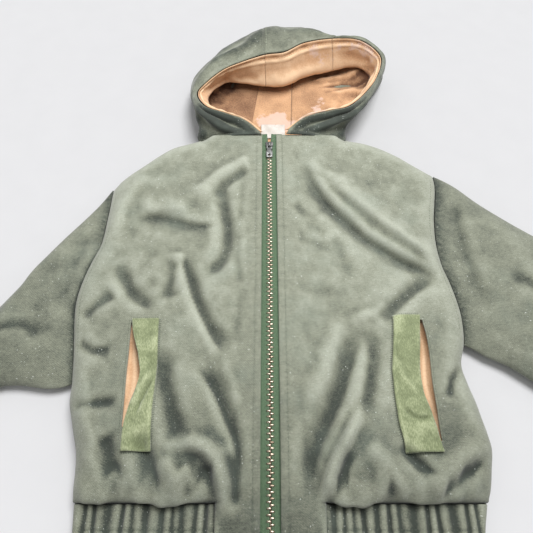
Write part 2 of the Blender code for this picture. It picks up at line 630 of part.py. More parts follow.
def make_hem(group, columns=34, rows=3):
    for side, sign in SIGN.items():
        y = np.linspace(HEM_Y, WAIST_Y - 2 * GAP - WALL / 2, rows + 1)[:, None]
        width = half_width(side, y)
        inner = STRIP_EDGE + GAP
        flat = np.linspace(0, 1, columns + 1)[None, :]
        last = width - EDGE_R / 2
        x = np.concatenate([inner + (last - inner) * flat, width - edge_steps(EDGE_R / 2, 3)[::-1][1:]], axis=1)
        yy = np.broadcast_to(y, x.shape)
        edge = SEAM_Z + SEAM_GAP
        z = BAND_Z + 1.2 - gather_depth(sign * x)
        z = edge + (z - edge) * roll(width - x, EDGE_R / 2)
        band = np.stack([sign * x, yy, z], axis=-1)
        sheet(f"hem_band_{side}", band, "shell", group, flip=sign < 0)
    y = np.linspace(HEM_Y, WAIST_Y - GAP, rows + 1)[:, None]
    right, left = half_width("right", y), half_width("left", y)
    steps = edge_steps(BACK_R, 3)
    middle = np.linspace(0, 1, 62)[None, :]
    x = np.concatenate([
        -right + steps[None, :-1],
        -right + BACK_R + (left + right - 2 * BACK_R) * middle,
        left - steps[None, ::-1][:, 1:],
    ], axis=1)
    distance = np.minimum(x + right, left - x)
    wave = 0.5 - 0.5 * np.cos(2 * math.pi * x / BACK_GATHER["pitch"])
    z = FLOOR + BACK_GATHER["rise"] * wave * smooth(distance, 2, BACK_R)
    z = np.maximum(z, FLOOR + (SEAM_Z - SEAM_GAP - FLOOR) * (1 - roll(distance, BACK_R)))
    yy = np.broadcast_to(y, x.shape)
    sheet("hem_band_back", np.stack([x, yy, z], axis=-1), "shell", group)


def make_hood(group):
    low, high = CENTRE_ROWS
    last = len(HOOD) - 1
    across = np.linspace(0, 1, 15)
    spans = {"right": (0, low - ROW_GAP), "left": (high + ROW_GAP, last)}
    for side, (start, stop) in spans.items():
        at = np.linspace(start, stop, 16)
        sheet(f"hood_side_{side}", hood_outer(at, across), "shell", group, flip=False)
        sheet(f"hood_lining_{side}", hood_lining(at, across), "lining", group, wall=THIN, flip=True)
    at = np.linspace(low + ROW_GAP, high - ROW_GAP, 7)
    for name, maker, level, look, wall, turned, edge in (
        ("hood_centre", hood_outer, FLOOR, "shell", WALL, False, 151.0),
        ("hood_lining_centre", hood_lining, LINING_FLOOR, "lining", THIN, True, 155.0),
    ):
        upper = maker(at, across)
        floor = centre_floor(upper[:, 0], 8, level, edge)
        pull_in = np.linspace(HOOD_GAP, -HOOD_GAP, len(at))[:, None]
        floor[:, :, 0] += pull_in
        upper[:, 0, 0] += pull_in[:, 0]
        sheet(name, np.concatenate([floor, upper], axis=1), look, group, wall=wall, flip=turned)


def make_label(group):
    x = np.linspace(*LABEL["x"], 4)[None, :]
    y = np.linspace(*LABEL["y"], 4)[:, None]
    level = LINING_FLOOR + THIN + GAP
    z = np.full((4, 4), level)
    points = np.stack([np.broadcast_to(x, z.shape), np.broadcast_to(y, z.shape), z], axis=-1)
    sheet("neck_label", points, "label", group, wall=THIN)


def tape_level(y):
    """Middle of the zip tape, just under the panels' edges."""
    return lookup(ZIP_HEIGHT, y) - (WALL + THIN) / 2 - 2 * GAP


def make_zip(group):
    y = np.linspace(HEM_Y, ZIP["top"], 26)[:, None]
    for side, sign in SIGN.items():
        spread = 1.6 * smooth(y, SLIDER["y"] - 2, ZIP["top"])
        near = ZIP["tape_in"] + spread
        x = near + (ZIP["tape_out"] - near) * np.linspace(0, 1, 3)[None, :]
        z = np.broadcast_to(tape_level(y), x.shape)
        tape = np.stack([sign * x, np.broadcast_to(y, x.shape), z], axis=-1)
        sheet(f"zip_tape_{side}", tape, "tape", group, wall=THIN, flip=sign < 0)
    level = float(tape_level(np.array(SLIDER["y"])))
    half, wide = SLIDER["length"] / 2, SLIDER["width"] / 2
    room, plate = SLIDER["room"], SLIDER["plate"]
    low, high = SLIDER["y"] - half, SLIDER["y"] + half
    deck = level + room + plate
    post, sink = SLIDER["post"] / 2, SLIDER["sink"]
    arch = deck + BRIDGE["room"]
    wire, strap = BRIDGE["wire"], BRIDGE["width"] / 2
    joined_boxes("zip_slider", [
        ((-wide, low, level + room), (wide, high, deck)),
        ((-wide, low, level - room - plate), (wide, high, level - room)),
        ((-post, high - 3.5, level - room - sink), (post, high - 0.5, level + room + sink)),
        ((-strap, BRIDGE["low"], deck - sink), (strap, BRIDGE["low"] + wire, arch + wire)),
        ((-strap, BRIDGE["high"] - wire, deck - sink), (strap, BRIDGE["high"], arch + wire)),
        ((-strap, BRIDGE["low"], arch), (strap, BRIDGE["high"], arch + wire)),
    ], "metal", group)
    make_pull(group, deck + BRIDGE["room"] / 2)


def make_pull(group, level):
    """The pull tab, hinged on its cross bar under the slider's bridge."""
    axis = (0, PULL["axis_y"], level)
    half, thick, bar = PULL["width"] / 2, PULL["thick"] / 2, PULL["bar"]
    side, hole, length = PULL["side"], PULL["hole"], PULL["length"]
    y = PULL["axis_y"]
    pull, helpers = joined_boxes("zip_pull", [
        ((-half, y - length, level - thick), (half, y - hole, level + thick)),
        ((-half, y - hole - bar, level - thick), (-half + side, y + bar, level + thick)),
        ((half - side, y - hole - bar, level - thick), (half, y + bar, level + thick)),
        ((-half, y - bar, level - thick), (half, y + bar, level + thick)),
    ], "metal", group, place=axis)
    slot = box(
        (-PULL_SLOT["half"] * MM, (PULL_SLOT["from_end"] - length) * MM, -2 * thick * MM),
        (PULL_SLOT["half"] * MM, (PULL_SLOT["from_end"] + PULL_SLOT["tall"] - length) * MM, 2 * thick * MM),
    )
    mesh = bpy.data.meshes.new("pull slot")
    slot.to_mesh(mesh)
    slot.free()
    cutter = bpy.data.objects.new("pull slot", mesh)
    cut(pull, cutter)
    cutter.location = pull.location
    for obj in [pull, cutter, *helpers]:
        obj.rotation_euler.x = math.radians(PULL["tilt"])


def main():
    for obj in list(bpy.data.objects):
        bpy.data.objects.remove(obj, do_unlink=True)
    scene = bpy.context.scene.collection
    group = bpy.data.collections.new("blouson_jacket")
    scene.children.link(group)
    tools = bpy.data.collections.new("cutters")
    tools.hide_render = True
    scene.children.link(tools)
    make_body(group)
    make_pockets(group)
    make_hem(group)
    make_hood(group)
    make_label(group)
    make_zip(group)


main()
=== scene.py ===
"""Looks of the hooded blouson jacket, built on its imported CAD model.

Each cloth piece is made again from the sizes and outlines of its solid, with a finer grid, the smaller
creases, the seams and the stitching. Drawing sizes are in millimetres about the zip line; ORIGIN is the
drawing point at the frame's origin.
"""

import json
import math

import bmesh
import bpy
import mathutils
import numpy as np
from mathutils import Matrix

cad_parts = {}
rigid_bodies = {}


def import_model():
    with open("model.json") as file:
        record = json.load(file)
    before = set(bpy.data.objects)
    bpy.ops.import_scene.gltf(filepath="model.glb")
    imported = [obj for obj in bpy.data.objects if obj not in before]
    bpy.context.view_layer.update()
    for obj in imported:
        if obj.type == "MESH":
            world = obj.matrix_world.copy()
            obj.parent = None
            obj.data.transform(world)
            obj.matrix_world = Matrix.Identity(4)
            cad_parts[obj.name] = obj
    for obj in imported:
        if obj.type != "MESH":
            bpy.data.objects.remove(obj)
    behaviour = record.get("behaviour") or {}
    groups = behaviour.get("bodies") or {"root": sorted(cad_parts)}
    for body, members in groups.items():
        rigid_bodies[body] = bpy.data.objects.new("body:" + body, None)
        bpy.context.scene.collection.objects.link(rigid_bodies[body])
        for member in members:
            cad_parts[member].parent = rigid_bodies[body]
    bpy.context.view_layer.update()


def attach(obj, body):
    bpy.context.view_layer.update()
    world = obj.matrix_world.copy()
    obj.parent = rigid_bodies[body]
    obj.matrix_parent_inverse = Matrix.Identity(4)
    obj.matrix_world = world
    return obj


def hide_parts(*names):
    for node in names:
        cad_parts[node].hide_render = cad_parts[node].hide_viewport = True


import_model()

MM = 0.001
ORIGIN = (9.59, 41.39)     # drawing point at the frame's origin

# ---------------------------------------------------------------- driving sizes, mm
WALL = 1.5                 # outer cloth with its backing
THIN = 1.0                 # lining, label and zip tape
GAP = 0.3                  # between neighbouring pieces
SEAM_GAP = 0.45            # from the side seam to each sheet's middle: their rims lean towards each other
FLOOR = WALL / 2           # middle of a sheet that lies on the floor
WAIST_Y = -208.0           # seam between the panels and the gathered hem
HEM_Y = -245.0             # lower edge of the hem
FINEST = 2.5               # sharpest fold that the fine grid holds
FOLD_DEPTH = 1.3           # the cloth's folds against their table
NECK_Y = 148.0             # neck seam
ZIP_EDGE = 7.5             # front panel edge from the zip line
STRIP_EDGE = 40.0          # flat strip beside the zip that runs down to the hem
EDGE_R = 16.0              # how softly the front rolls over at the side seam
SHOULDER_R = 14.0          # over the shoulder seam
WAIST_R = 15.0             # and down to the waist seam
BACK_R = 8.0               # how softly the back curls up to its seams
SEAM_Z = 8.0               # height of the side and shoulder seams
ARM_Z = 12.5               # height of the front's armhole edge
BAND_Z = 12.0              # middle of the gathered hem in front
LOOSE_Z = 24.0             # least height of the loose cloth above the hem
POCKET_LIFT = 2.5          # welt above the panel, middle to middle
BAG_DROP = 3.0             # pocket cloth below the panel at its edge
BAG_DEPTH = 5.0            # how much deeper it hangs in the mouth

# Body outline seen from above. y, half width on the wearer's right, on the wearer's left.
OUTLINE = (
    (-245, 141, 152), (-227, 143, 155), (-210, 145, 160), (-198, 147, 164), (-185, 148, 168),
    (-172, 150, 171), (-160, 154, 170), (-148, 158, 168), (-135, 162, 166), (-122, 163, 163),
    (-103, 165, 161), (-84, 168, 167), (-62, 171.5, 169), (-46, 173, 168), (-28, 171.5, 165),
    (-7, 167, 160), (17, 160.5, 159), (46, 159.5, 162), (65, 159.5, 166), (86, 160, 170), (104, 160, 171),
)
# Shoulder line from the neck to the shoulder tip. distance from the zip line, y.
SHOULDER = {
    "right": (
        (73, 149.4), (86, 145), (103, 139), (118, 127.7), (130, 116.5), (142, 105.6), (153, 95), (160, 86),
    ),
    "left": ((83, 149.4), (100, 146), (118, 139), (137, 127.7), (151, 116.5), (162, 108.5), (171, 104)),
}
UNDERARM = {"right": -117.0, "left": -83.0}
SIGN = {"right": -1, "left": 1}

# Height of the front beside the zip. y, height.
ZIP_HEIGHT = (
    (-245, 14), (-228, 16), (-212, 20), (-195, 25), (-170, 29), (-130, 30), (-80, 28), (-20, 27),
    (40, 26), (95, 25), (150, 25),
)
# How far the loose cloth falls over the gathered hem. distance from the zip line, overhang right, left.
OVERHANG = (
    (40, 1, 1), (52, 2, 6), (66, 5, 7), (80, 6, 2), (95, 3, 1), (112, 1, 5), (125, 4, 3), (140, 2, 1),
    (165, 0, 0),
)

# Folds of the front. The line that each follows, in the order of travel; its softness on the left and the
# right of that way; its height, negative for a trough.
FOLDS = (
    # the wearer's left chest: the long ridge from the neck to the armhole and the trough below it
    (((54, 101), (75, 73), (102, 42), (127, 18), (149, -2), (165, -36)), 22, 6, 4.5),
    (((32, 122), (41, 92), (55, 64), (73, 40), (94, 17), (120, -3), (141, -17), (158, -37)), 5, 15, -7.0),
    (((148, -22), (128, -38), (110, -54), (94, -72)), 6, 10, -4.0),
    (((57, 20), (66, 4), (73, -34)), 9, 9, -1.6),
    (((22, 64), (36, 40), (60, 14)), 9, 8, -1.4),
    # below: folds beside the left pocket
    (((80, -70), (66, -102), (57, -127), (43, -155), (31, -182), (27, -214)), 7, 12, -6.0),
    (((66, -64), (46, -108), (33, -150)), 8, 12, 2.6),
    (((88, -72), (84, -103), (78, -130), (72, -156)), 9, 8, -3.8),
    (((74, -138), (56, -168), (44, -190), (38, -214)), 6, 4, 5.5),
    (((60, -172), (53, -196), (52, -214)), 4, 5, -4.5),
    (((96, -168), (109, -183), (121, -196)), 5, 6, -4.6),
    (((164, -168), (142, -182), (125, -194), (112, -210)), 4, 13, 4.5),
    (((162, -180), (143, -193), (131, -204), (125, -213)), 6, 3, -4.0),
    (((70, -170), (84, -184), (92, -206)), 9, 8, 3.0),
    (((158, -104), (146, -120), (138, -138)), 6, 4, -2.4),
    # the wearer's right chest
    (((-8, 118), (-30, 108), (-50, 93), (-66, 76), (-82, 64)), 12, 8, 2.6),
    (((-18, 104), (-32, 94), (-46, 80), (-50, 62)), 7, 8, -3.6),
    (((-49, 90), (-45, 60), (-40, 31), (-40, 4), (-50, -16), (-67, -21)), 8, 9, -5.5),
    (((-130, 36), (-112, 43), (-91, 38), (-66, 31), (-50, 29)), 5, 18, -3.8),
    (((-130, 52), (-102, 54), (-74, 48)), 16, 6, 2.4),
    (((-78, -2), (-71, -29), (-63, -51), (-49, -79), (-34, -102)), 11, 4, -6.0),
    (((-84, 4), (-81, -20), (-76, -42)), 4, 10, 3.2),
    (((-84, -2), (-87, -28), (-93, -52)), 9, 8, -3.0),
    (((-141, -6), (-130, -29), (-116, -46), (-94, -58)), 9, 7, -4.0),
    (((-136, -38), (-151, -50), (-166, -66)), 7, 9, -3.4),
    (((-122, 102), (-142, 66), (-152, 12)), 9, 12, 2.6),
    # below: folds beside the right pocket
    (((-94, -88), (-86, -114), (-80, -134), (-71, -158), (-62, -180)), 10, 10, -6.0),
    (((-61, -104), (-45, -127), (-33, -152), (-24, -173), (-19, -206)), 11, 4, -4.6),
    (((-80, -172), (-58, -171), (-43, -179), (-36, -196), (-31, -226)), 9, 5, 6.5),
    (((-46, -182), (-47, -196), (-50, -212)), 4, 6, -7.0),
    (((-32, -172), (-27, -194), (-25, -214)), 6, 7, -3.6),
    (((-82, -178), (-70, -192), (-56, -190)), 6, 7, 3.0),
    (((-102, -160), (-90, -184), (-87, -206)), 9, 9, -4.5),
    (((-128, -160), (-120, -178), (-116, -200)), 9, 8, -3.6),
    (((-160, -141), (-138, -139), (-116, -137)), 5, 6, -2.6),
    (((-164, -82), (-149, -93), (-130, -94)), 5, 7, -3.0),
)

# Valleys between the gathers of the hem. x of the valley; half width; depth
GATHERS = (
    (-136, 4, 2.2), (-128, 3, 2.8), (-119, 4, 2.4), (-109, 3, 3.0), (-100, 4, 1.6), (-91, 3, 3.0),
    (-80, 4, 2.6), (-71, 3, 1.8), (-64, 4, 2.4), (-56, 3, 2.6), (-48, 3, 3.0),
    (46, 3, 2.8), (53, 3, 2.4), (61, 4, 1.8), (69, 3, 3.0), (77, 3, 2.4), (86, 3, 2.8), (95, 4, 1.8),
    (104, 4, 2.2), (114, 3, 3.0), (123, 3, 2.6), (134, 4, 2.4), (143, 3, 2.8), (151, 3, 2.2),
)
BACK_GATHER = {"pitch": 9.5, "rise": 1.6}

# Pocket mouth. y, sewn edge of the welt, its free edge, far edge of the mouth: distances from the zip line.
POCKETS = {
    "right": (
        (-67, 94.5, 117.5, 118.7), (-82, 93.5, 114, 117.8), (-99, 92.5, 107.6, 116.4),
        (-116, 91.8, 103.8, 115.4),
        (-133, 91.2, 105.6, 114), (-144, 90.8, 108.9, 113.4), (-156, 90.2, 111, 112.9),
        (-175, 89.3, 111.4, 112.2),
    ),
    "left": (
        (-63, 105.9, 129, 130.2), (-81, 103.6, 125.5, 132), (-99, 100.5, 122.6, 131.5),
        (-112, 98, 120, 130.2),
        (-124, 97.3, 119.3, 129.2), (-135, 96.8, 120, 129), (-145, 97, 122.5, 128.8),
        (-157, 97.5, 124.8, 128.4),
        (-176, 101, 128.2, 128.9),
    ),
}

# Sleeves, from beside the armhole's seam to the cuff, one row for each section.
# outer edge x, y; inner edge x, y; height
SLEEVES = {
    "right": (
        (172, 66, 172, -120, 16), (184, 47, 183, -121.5, 20), (197, 28, 194, -120.5, 22),
        (209, 9, 205, -119, 23),
        (219, -8, 215, -118.5, 23), (227, -27, 226, -120, 23), (243, -50, 247, -130, 23),
        (268, -72, 264, -148, 22),
        (304, -98, 290, -180, 21), (352, -131, 318, -213, 20), (414, -165, 352, -245, 18),
    ),
    "left": (
        (183, 97, 178, -88, 17), (194, 87, 186, -93.5, 20), (212, 67, 195, -98, 22),
        (236, 45, 206, -104, 24),
        (262, 24, 226, -119, 24), (296, -4, 256, -143, 23), (330, -34, 286, -165, 22),
        (365, -67, 316, -184, 21),
        (400, -103, 342, -199, 20), (433, -135, 367, -209, 18),
    ),
}

# Hood, from the zip round the opening and back to it. One row for each section: rim point, top of the roll
# outside it, widest point, and the point of the floor seam it runs to.
HOOD = (
    # rim x, y, z; roll x, y, z; wide x, y, z; seam x, y
    (-8, 149.5, 27, -42, 150, 24, -74, 150.5, 8, -24, 151),
    (-26, 161.5, 34, -52, 154, 28, -78, 160, 13, -22.5, 164),
    (-47, 167.5, 38, -65, 164, 33, -76, 172, 14, -21, 176),
    (-69.5, 179, 37, -77, 178, 32, -81, 190, 15, -19.3, 190),
    (-81, 202.5, 33, -86, 205, 28, -88, 217, 15, -17.4, 205),
    (-71.5, 214.5, 38, -81, 223, 36, -89, 240, 17, -15.6, 220),
    (-53, 230, 43, -64, 243, 44, -76, 266, 18, -13.8, 235),
    (-33, 239.5, 46, -42, 259, 49, -51, 294, 20, -12.2, 248),
    (-6, 250.5, 48, -7, 282, 57, -8, 321, 20, -11, 258),
    (18, 254.5, 49, 20, 283, 57, 24, 325, 20, 5, 258),
    (41, 269, 50, 47, 286, 55, 55, 317, 20, 18, 258),
    (74, 276.5, 50, 80, 281, 48, 88, 298, 19, 28, 258),
    (105.5, 276.5, 48, 112, 280, 46, 120, 287, 18, 27.5, 245),
    (126, 258, 45, 132, 260, 40, 136, 264, 17, 27, 232),
    (128, 239.5, 42, 132, 240, 35, 127, 238, 16, 26.5, 218),
    (115, 209, 40, 117, 207, 32, 108, 210, 15, 26, 205),
    (89, 176.5, 41, 94, 173, 33, 93, 188, 14, 25.5, 190),
    (65, 169, 40, 75, 163, 31, 84.5, 174, 12, 25, 176),
    (38, 163.5, 36, 60, 155, 27, 84, 160, 10, 24.5, 164),
    (18, 151.5, 28, 50, 150, 24, 82, 150.5, 8, 24, 151),
)
# The lining in each of those sections: the facing's fold, the deepest corner, and where it meets the floor.
HOOD_LINING = (
    # fold x, y, z; deep x, y, z; floor x, y
    (-32, 155, 20, -58, 155, 13, -56, 156),
    (-38, 167, 24, -62, 166, 13, -60, 168),
    (-50, 175, 26, -66, 178, 13, -62, 180),
    (-62, 187, 24, -71, 191, 12, -64, 191),
    (-70, 207, 22, -76, 214, 12, -66, 212),
    (-62, 227, 19, -77, 238, 14, -66, 235),
    (-49, 242, 16, -64, 259, 15, -56, 252),
    (-32, 243, 14, -42, 282, 16, -36, 268),
    (-4, 240, 13, -8, 297, 17, -9, 280),
    (18, 241, 13, 22, 301, 17, 12, 284),
    (44, 254, 14, 52, 298, 17, 34, 282),
    (77, 263, 16, 84, 288, 16, 62, 272),
    (103, 267, 19, 108, 274, 14, 84, 260),
    (117, 255, 22, 119, 254, 12, 96, 246),
    (118, 238, 24, 116, 236, 12, 98, 230),
    (106, 212, 24, 99, 213, 12, 84, 211),
    (84, 187, 25, 83, 191, 12, 70, 192),
    (61, 178, 26, 72, 179, 11, 62, 180),
    (45, 169, 24, 69, 167, 10, 60, 168),
    (40, 155, 19, 66, 155, 10, 58, 156),
)
HOOD_MIDDLE = (20.0, 212.0)          # middle of the opening
CENTRE_ROWS = (8.0, 11.0)            # rows between which the centre panel lies
SEAM_SHARE = 0.005                   # half its seams' width, as a share of a row
NAPE = {"right": (-24, 151), "left": (24, 151)}
LINING_FLOOR = 3.4                   # middle of the lining on the hood's floor

LABEL = {"x": (-9, 18), "y": (163, 184)}

ZIP = {"tape_in": 0.7, "tape_out": 13.5, "top": 151.0}
SLIDER = {"y": 133.0, "length": 11.0, "width": 8.0, "plate": 1.0, "room": 1.5}
BRIDGE = {"low": 129.6, "high": 136.4, "width": 1.5, "half_thick": 0.42, "rise": 2.85, "room": 2.3}
PULL = {"axis_y": 131.7, "length": 15.5, "width": 6.8, "thick": 1.0, "hole": 3.4, "tilt": 4.0}

# How many steps the pieces' grids have.
FRONT_GRID = {"strip": 24, "loose": 54, "side": 10, "hem": 18, "waist": 10, "shoulder": 8, "up": 165}
BACK_GRID = {"columns": 84, "rows": 90, "curl": 3}
SLEEVE_GRID = {"rings": 140, "around": 176}
POCKET_GRID = {"rows": 96, "welt": 26, "bag": 48, "mouth": 40, "edge": 120}
HEM_GRID = {"rows": 26, "columns": 112, "side": 8}
BACK_HEM_GRID = {"rows": 20, "columns": 170, "side": 6}
HOOD_GRID = {"side": 130, "centre": 52, "across": 96, "floor": 44}
LABEL_GRID = {"rows": 24, "columns": 28}
TAPE_GRID = {"rows": 200, "columns": 14}

# ---------------------------------------------------------------- small helpers
def smooth(value, low, high):
    """0 below low, 1 above high, with a soft change between."""
    t = np.clip((np.asarray(value, float) - low) / (high - low), 0, 1)
    return t * t * (3 - 2 * t)


def spline(rows, at):
    """Catmull-Rom curve through rows (one point a row), at row positions such as 2.5."""
    rows = np.asarray(rows, float)
    at = np.clip(np.asarray(at, float), 0, len(rows) - 1)
    i = np.minimum(at.astype(int), len(rows) - 2)
    t = (at - i)[..., None]
    before = np.where((i > 0)[..., None], rows[np.maximum(i - 1, 0)], 2 * rows[i] - rows[i + 1])
    last = len(rows) - 1
    after = np.where((i + 2 <= last)[..., None], rows[np.minimum(i + 2, last)], 2 * rows[i + 1] - rows[i])
    a, b = rows[i], rows[i + 1]
    return 0.5 * (
        2 * a + (b - before) * t + (2 * before - 5 * a + 4 * b - after) * t**2
        + (3 * a - before - 3 * b + after) * t**3
    )


def lookup(table, x, column=1):
    """Smooth value of a column at x, for a table sorted by its first column."""
    table = np.asarray(table, float)
    where = np.interp(x, table[:, 0], np.arange(len(table)))
    return spline(table[:, column:column + 1], where)[..., 0]


def roll(distance, radius):
    """Rise of a quarter circle: 0 at the edge, 1 from one radius inwards."""
    left = 1 - np.clip(distance / radius, 0, 1)
    return np.sqrt(np.maximum(0, 1 - left**2))


def edge_steps(radius, count):
    """Distances from an edge at even angles of its roll."""
    angles = np.linspace(0, math.pi / 2, count + 1)
    return radius * (1 - np.cos(angles))


# ---------------------------------------------------------------- body shape
def half_width(side, y):
    return lookup(OUTLINE, y, 1 if side == "right" else 2)


def shoulder_tip(side):
    return SHOULDER[side][-1]


def top_line(side, x):
    """y of the neckline and the shoulder at this distance from the zip line."""
    return np.where(x < SHOULDER[side][0][0], NECK_Y, lookup(SHOULDER[side], x))


def armhole_opening(side, y):
    """0 at the shoulder tip and the underarm, 1 half way, where the armhole is widest."""
    tip, under = shoulder_tip(side)[1], UNDERARM[side]
    c = np.clip((np.asarray(y, float) - under) / (tip - under), 0, 1) * 2 - 1
    return np.sqrt(np.maximum(0, 1 - c * c))


def front_height(side, x, y):
    """Height of the middle of the front panel; x is the distance from the zip line."""
    width = half_width(side, np.minimum(y, shoulder_tip(side)[1]))
    middle = lookup(ZIP_HEIGHT, y)
    swell = 4.0 * smooth(-y, 60, 170) * smooth(x, 30, 90)
    base = middle + swell - 7.0 * np.clip(x / width, 0, 1) ** 2
    folds = fold_heights(SIGN[side] * x, y) * smooth(x, 15, 28)
    height = base + folds
    loose = smooth(x, STRIP_EDGE - 6, STRIP_EDGE + 8)
    fuller = np.maximum(height, LOOSE_Z)
    low = smooth(-y, 175, 200) * loose
    height = height * (1 - low) + fuller * low
    edge = SEAM_Z + SEAM_GAP + (ARM_Z - SEAM_Z) * armhole_opening(side, y)
    at_side = roll(width - x, EDGE_R)
    on_shoulder = smooth(x, SHOULDER[side][0][0] - 15, SHOULDER[side][0][0] + 4)
    at_shoulder = 1 - on_shoulder + on_shoulder * roll(0.8 * (top_line(side, x) - y), SHOULDER_R)
    height = edge + (height - edge) * at_side * at_shoulder
    at_waist = 1 - loose + loose * roll(y - WAIST_Y, WAIST_R)
    return BAND_Z + (height - BAND_Z) * at_waist


def overhang(side, x, y):
    """How far the cloth above the hem falls towards it."""
    rise = roll(y - WAIST_Y, WAIST_R)
    bulge = 2 * rise * np.sqrt(np.maximum(0, 1 - rise**2)) * smooth(rise, 0.1, 0.6)
    return lookup(OVERHANG, np.clip(x, 40, 165), 1 if side == "right" else 2) * bulge * smooth(x, 40, 50)


def back_sheet():
    """Grid of the back panel: flat on the floor, curling up to the side and shoulder seams."""
    columns, rows, curl = BACK_GRID["columns"], BACK_GRID["rows"], BACK_GRID["curl"]
    widest = max(float(half_width(s, WAIST_Y)) for s in SIGN)
    steps = edge_steps(BACK_R, curl) / widest
    right = np.concatenate([[-1], -1 + steps[1:]])
    across = np.concatenate([right, np.linspace(-1 + steps[-1], 1 - steps[-1], columns)[1:-1], -right[::-1]])
    span = NECK_Y - WAIST_Y
    flat = np.linspace(0, span - BACK_R, rows)[:-1]
    up = np.concatenate([flat, span - edge_steps(BACK_R, curl)[::-1]]) / span
    u, v = np.meshgrid(across, up)
    x, y, z = np.zeros_like(u), np.zeros_like(u), np.zeros_like(u)
    for side, sign in SIGN.items():
        tip = shoulder_tip(side)
        top = top_line(side, tip[0] * np.abs(u)) + GAP
        sy = WAIST_Y + (top - WAIST_Y) * v
        width = half_width(side, np.minimum(sy, tip[1]))
        sx = width * np.abs(u)
        neck = smooth(sx, SHOULDER[side][0][0] - 12, SHOULDER[side][0][0] + 2)
        open_arm = (1 - armhole_opening(side, sy)) ** 2
        side_lift = (1 - roll(width - sx, BACK_R)) * open_arm
        shoulder_lift = (1 - roll(0.8 * (top - sy), BACK_R)) * neck
        lift = np.maximum(side_lift, shoulder_lift)
        sz = FLOOR + (SEAM_Z - SEAM_GAP - FLOOR) * lift
        mine = u * sign >= 0
        x, y, z = np.where(mine, sign * sx, x), np.where(mine, sy, y), np.where(mine, sz, z)
    return np.stack([x, y, z], axis=-1)


def sleeve_rings(side):
    """Rings of the laid sleeve, from the armhole seam to the cuff."""
    rings, around = SLEEVE_GRID["rings"], SLEEVE_GRID["around"]
    tip, under = shoulder_tip(side)[1], UNDERARM[side]
    seam_gap = WALL / 2 + GAP + 0.7
    c = np.cos(np.linspace(0, 2 * math.pi, around, endpoint=False))
    upper = np.arange(around) < around / 2
    seam_y = tip + (under - tip) * (1 + c) / 2
    at_tip, at_under = float(half_width(side, tip)) + seam_gap, float(half_width(side, under)) + seam_gap
    first = (at_tip, tip, at_under, under, ARM_Z)
    rows = np.array([first] + list(SLEEVES[side]), float)
    at = np.linspace(0, len(rows) - 1, rings)
    points = np.zeros((rings, around, 3))
    for k, row in enumerate(spline(rows, at)):
        ux, uy, lx, ly, height = row
        x = ux + (lx - ux) * (1 + c) / 2
        y = uy + (ly - uy) * (1 + c) / 2
        straight = first[0] + (first[2] - first[0]) * (1 + c) / 2
        bow = (half_width(side, seam_y) + seam_gap - straight) * max(0.0, 1 - at[k] / 2.5) ** 1.5
        x = x + bow
        swell = np.sqrt(np.maximum(0, 1 - c * c))
        z_top = SEAM_Z + (height - SEAM_Z) * swell
        z_low = FLOOR + (SEAM_Z - FLOOR) * (1 - swell) ** 2
        z = np.where(upper, z_top, z_low)
        points[k] = np.stack([SIGN[side] * x, y, z], axis=-1)
    return points


# ---------------------------------------------------------------- hood
def hood_outer(at, across):
    """Points of the outer hood. at: row positions; across: 0 at the floor seam, 1 at the rim."""
    rows = spline(HOOD, at)
    points = np.zeros((len(at), len(across), 3))
    for k, row in enumerate(rows):
        rim, top, wide = row[0:3], row[3:6], row[6:9]
        seam = np.array([row[9], row[10], FLOOR])
        inward = (seam - wide) * (1, 1, 0)
        reach = np.linalg.norm(inward)
        foot = wide + inward * min(0.8, 11 / reach)
        foot[2] = FLOOR
        path = spline([seam, foot, wide, top, rim], np.interp(across, (0, 0.25, 0.5, 0.75, 1), range(5)))
        path[:, 2] = np.maximum(path[:, 2], FLOOR)
        points[k] = path
    return points


def hood_lining(at, across):
    """Points of the hood lining. across: 0 at the floor seam, 1 at the rim."""
    outer = spline(HOOD, at)
    inner = spline(HOOD_LINING, at)
    points = np.zeros((len(at), len(across), 3))
    for k in range(len(at)):
        rim = outer[k, 0:3].copy()
        inward = np.array([HOOD_MIDDLE[0] - rim[0], HOOD_MIDDLE[1] - rim[1], 0])
        rim += inward / np.linalg.norm(inward) * 2.0 + np.array([0, 0.6, -0.6])
        fold, deep = inner[k, 0:3], inner[k, 3:6]
        floor = np.array([inner[k, 6], inner[k, 7], LINING_FLOOR])
        seam = np.array([outer[k, 9], max(outer[k, 10], 155), LINING_FLOOR])
        band = (rim + fold) / 2 + np.array([0, 0, 2.0])
        corner = (deep + floor) / 2 + np.array([0, 0, -2.5])
        stops = [seam, (seam + floor) / 2, floor, corner, deep, fold, band, rim]
        path = spline(stops, np.asarray(across) * (len(stops) - 1))
        path[:, 2] = np.maximum(path[:, 2], LINING_FLOOR - 0.4)
        points[k] = path
    return points


def centre_floor(from_points, count, level, low_y):
    """The rest of the centre panel, along the floor from the nape to where its curved part begins."""
    share = np.linspace(0, 1, len(from_points))
    nape_x = NAPE["right"][0] + (NAPE["left"][0] - NAPE["right"][0]) * share
    nape = np.stack([nape_x, np.full_like(nape_x, low_y), np.full_like(nape_x, level)], axis=-1)
    steps = np.linspace(0, 1, count, endpoint=False)[None, :, None]
    grid = nape[:, None] * (1 - steps) + from_points[:, None] * steps
    grid[..., 2] = level
    return grid


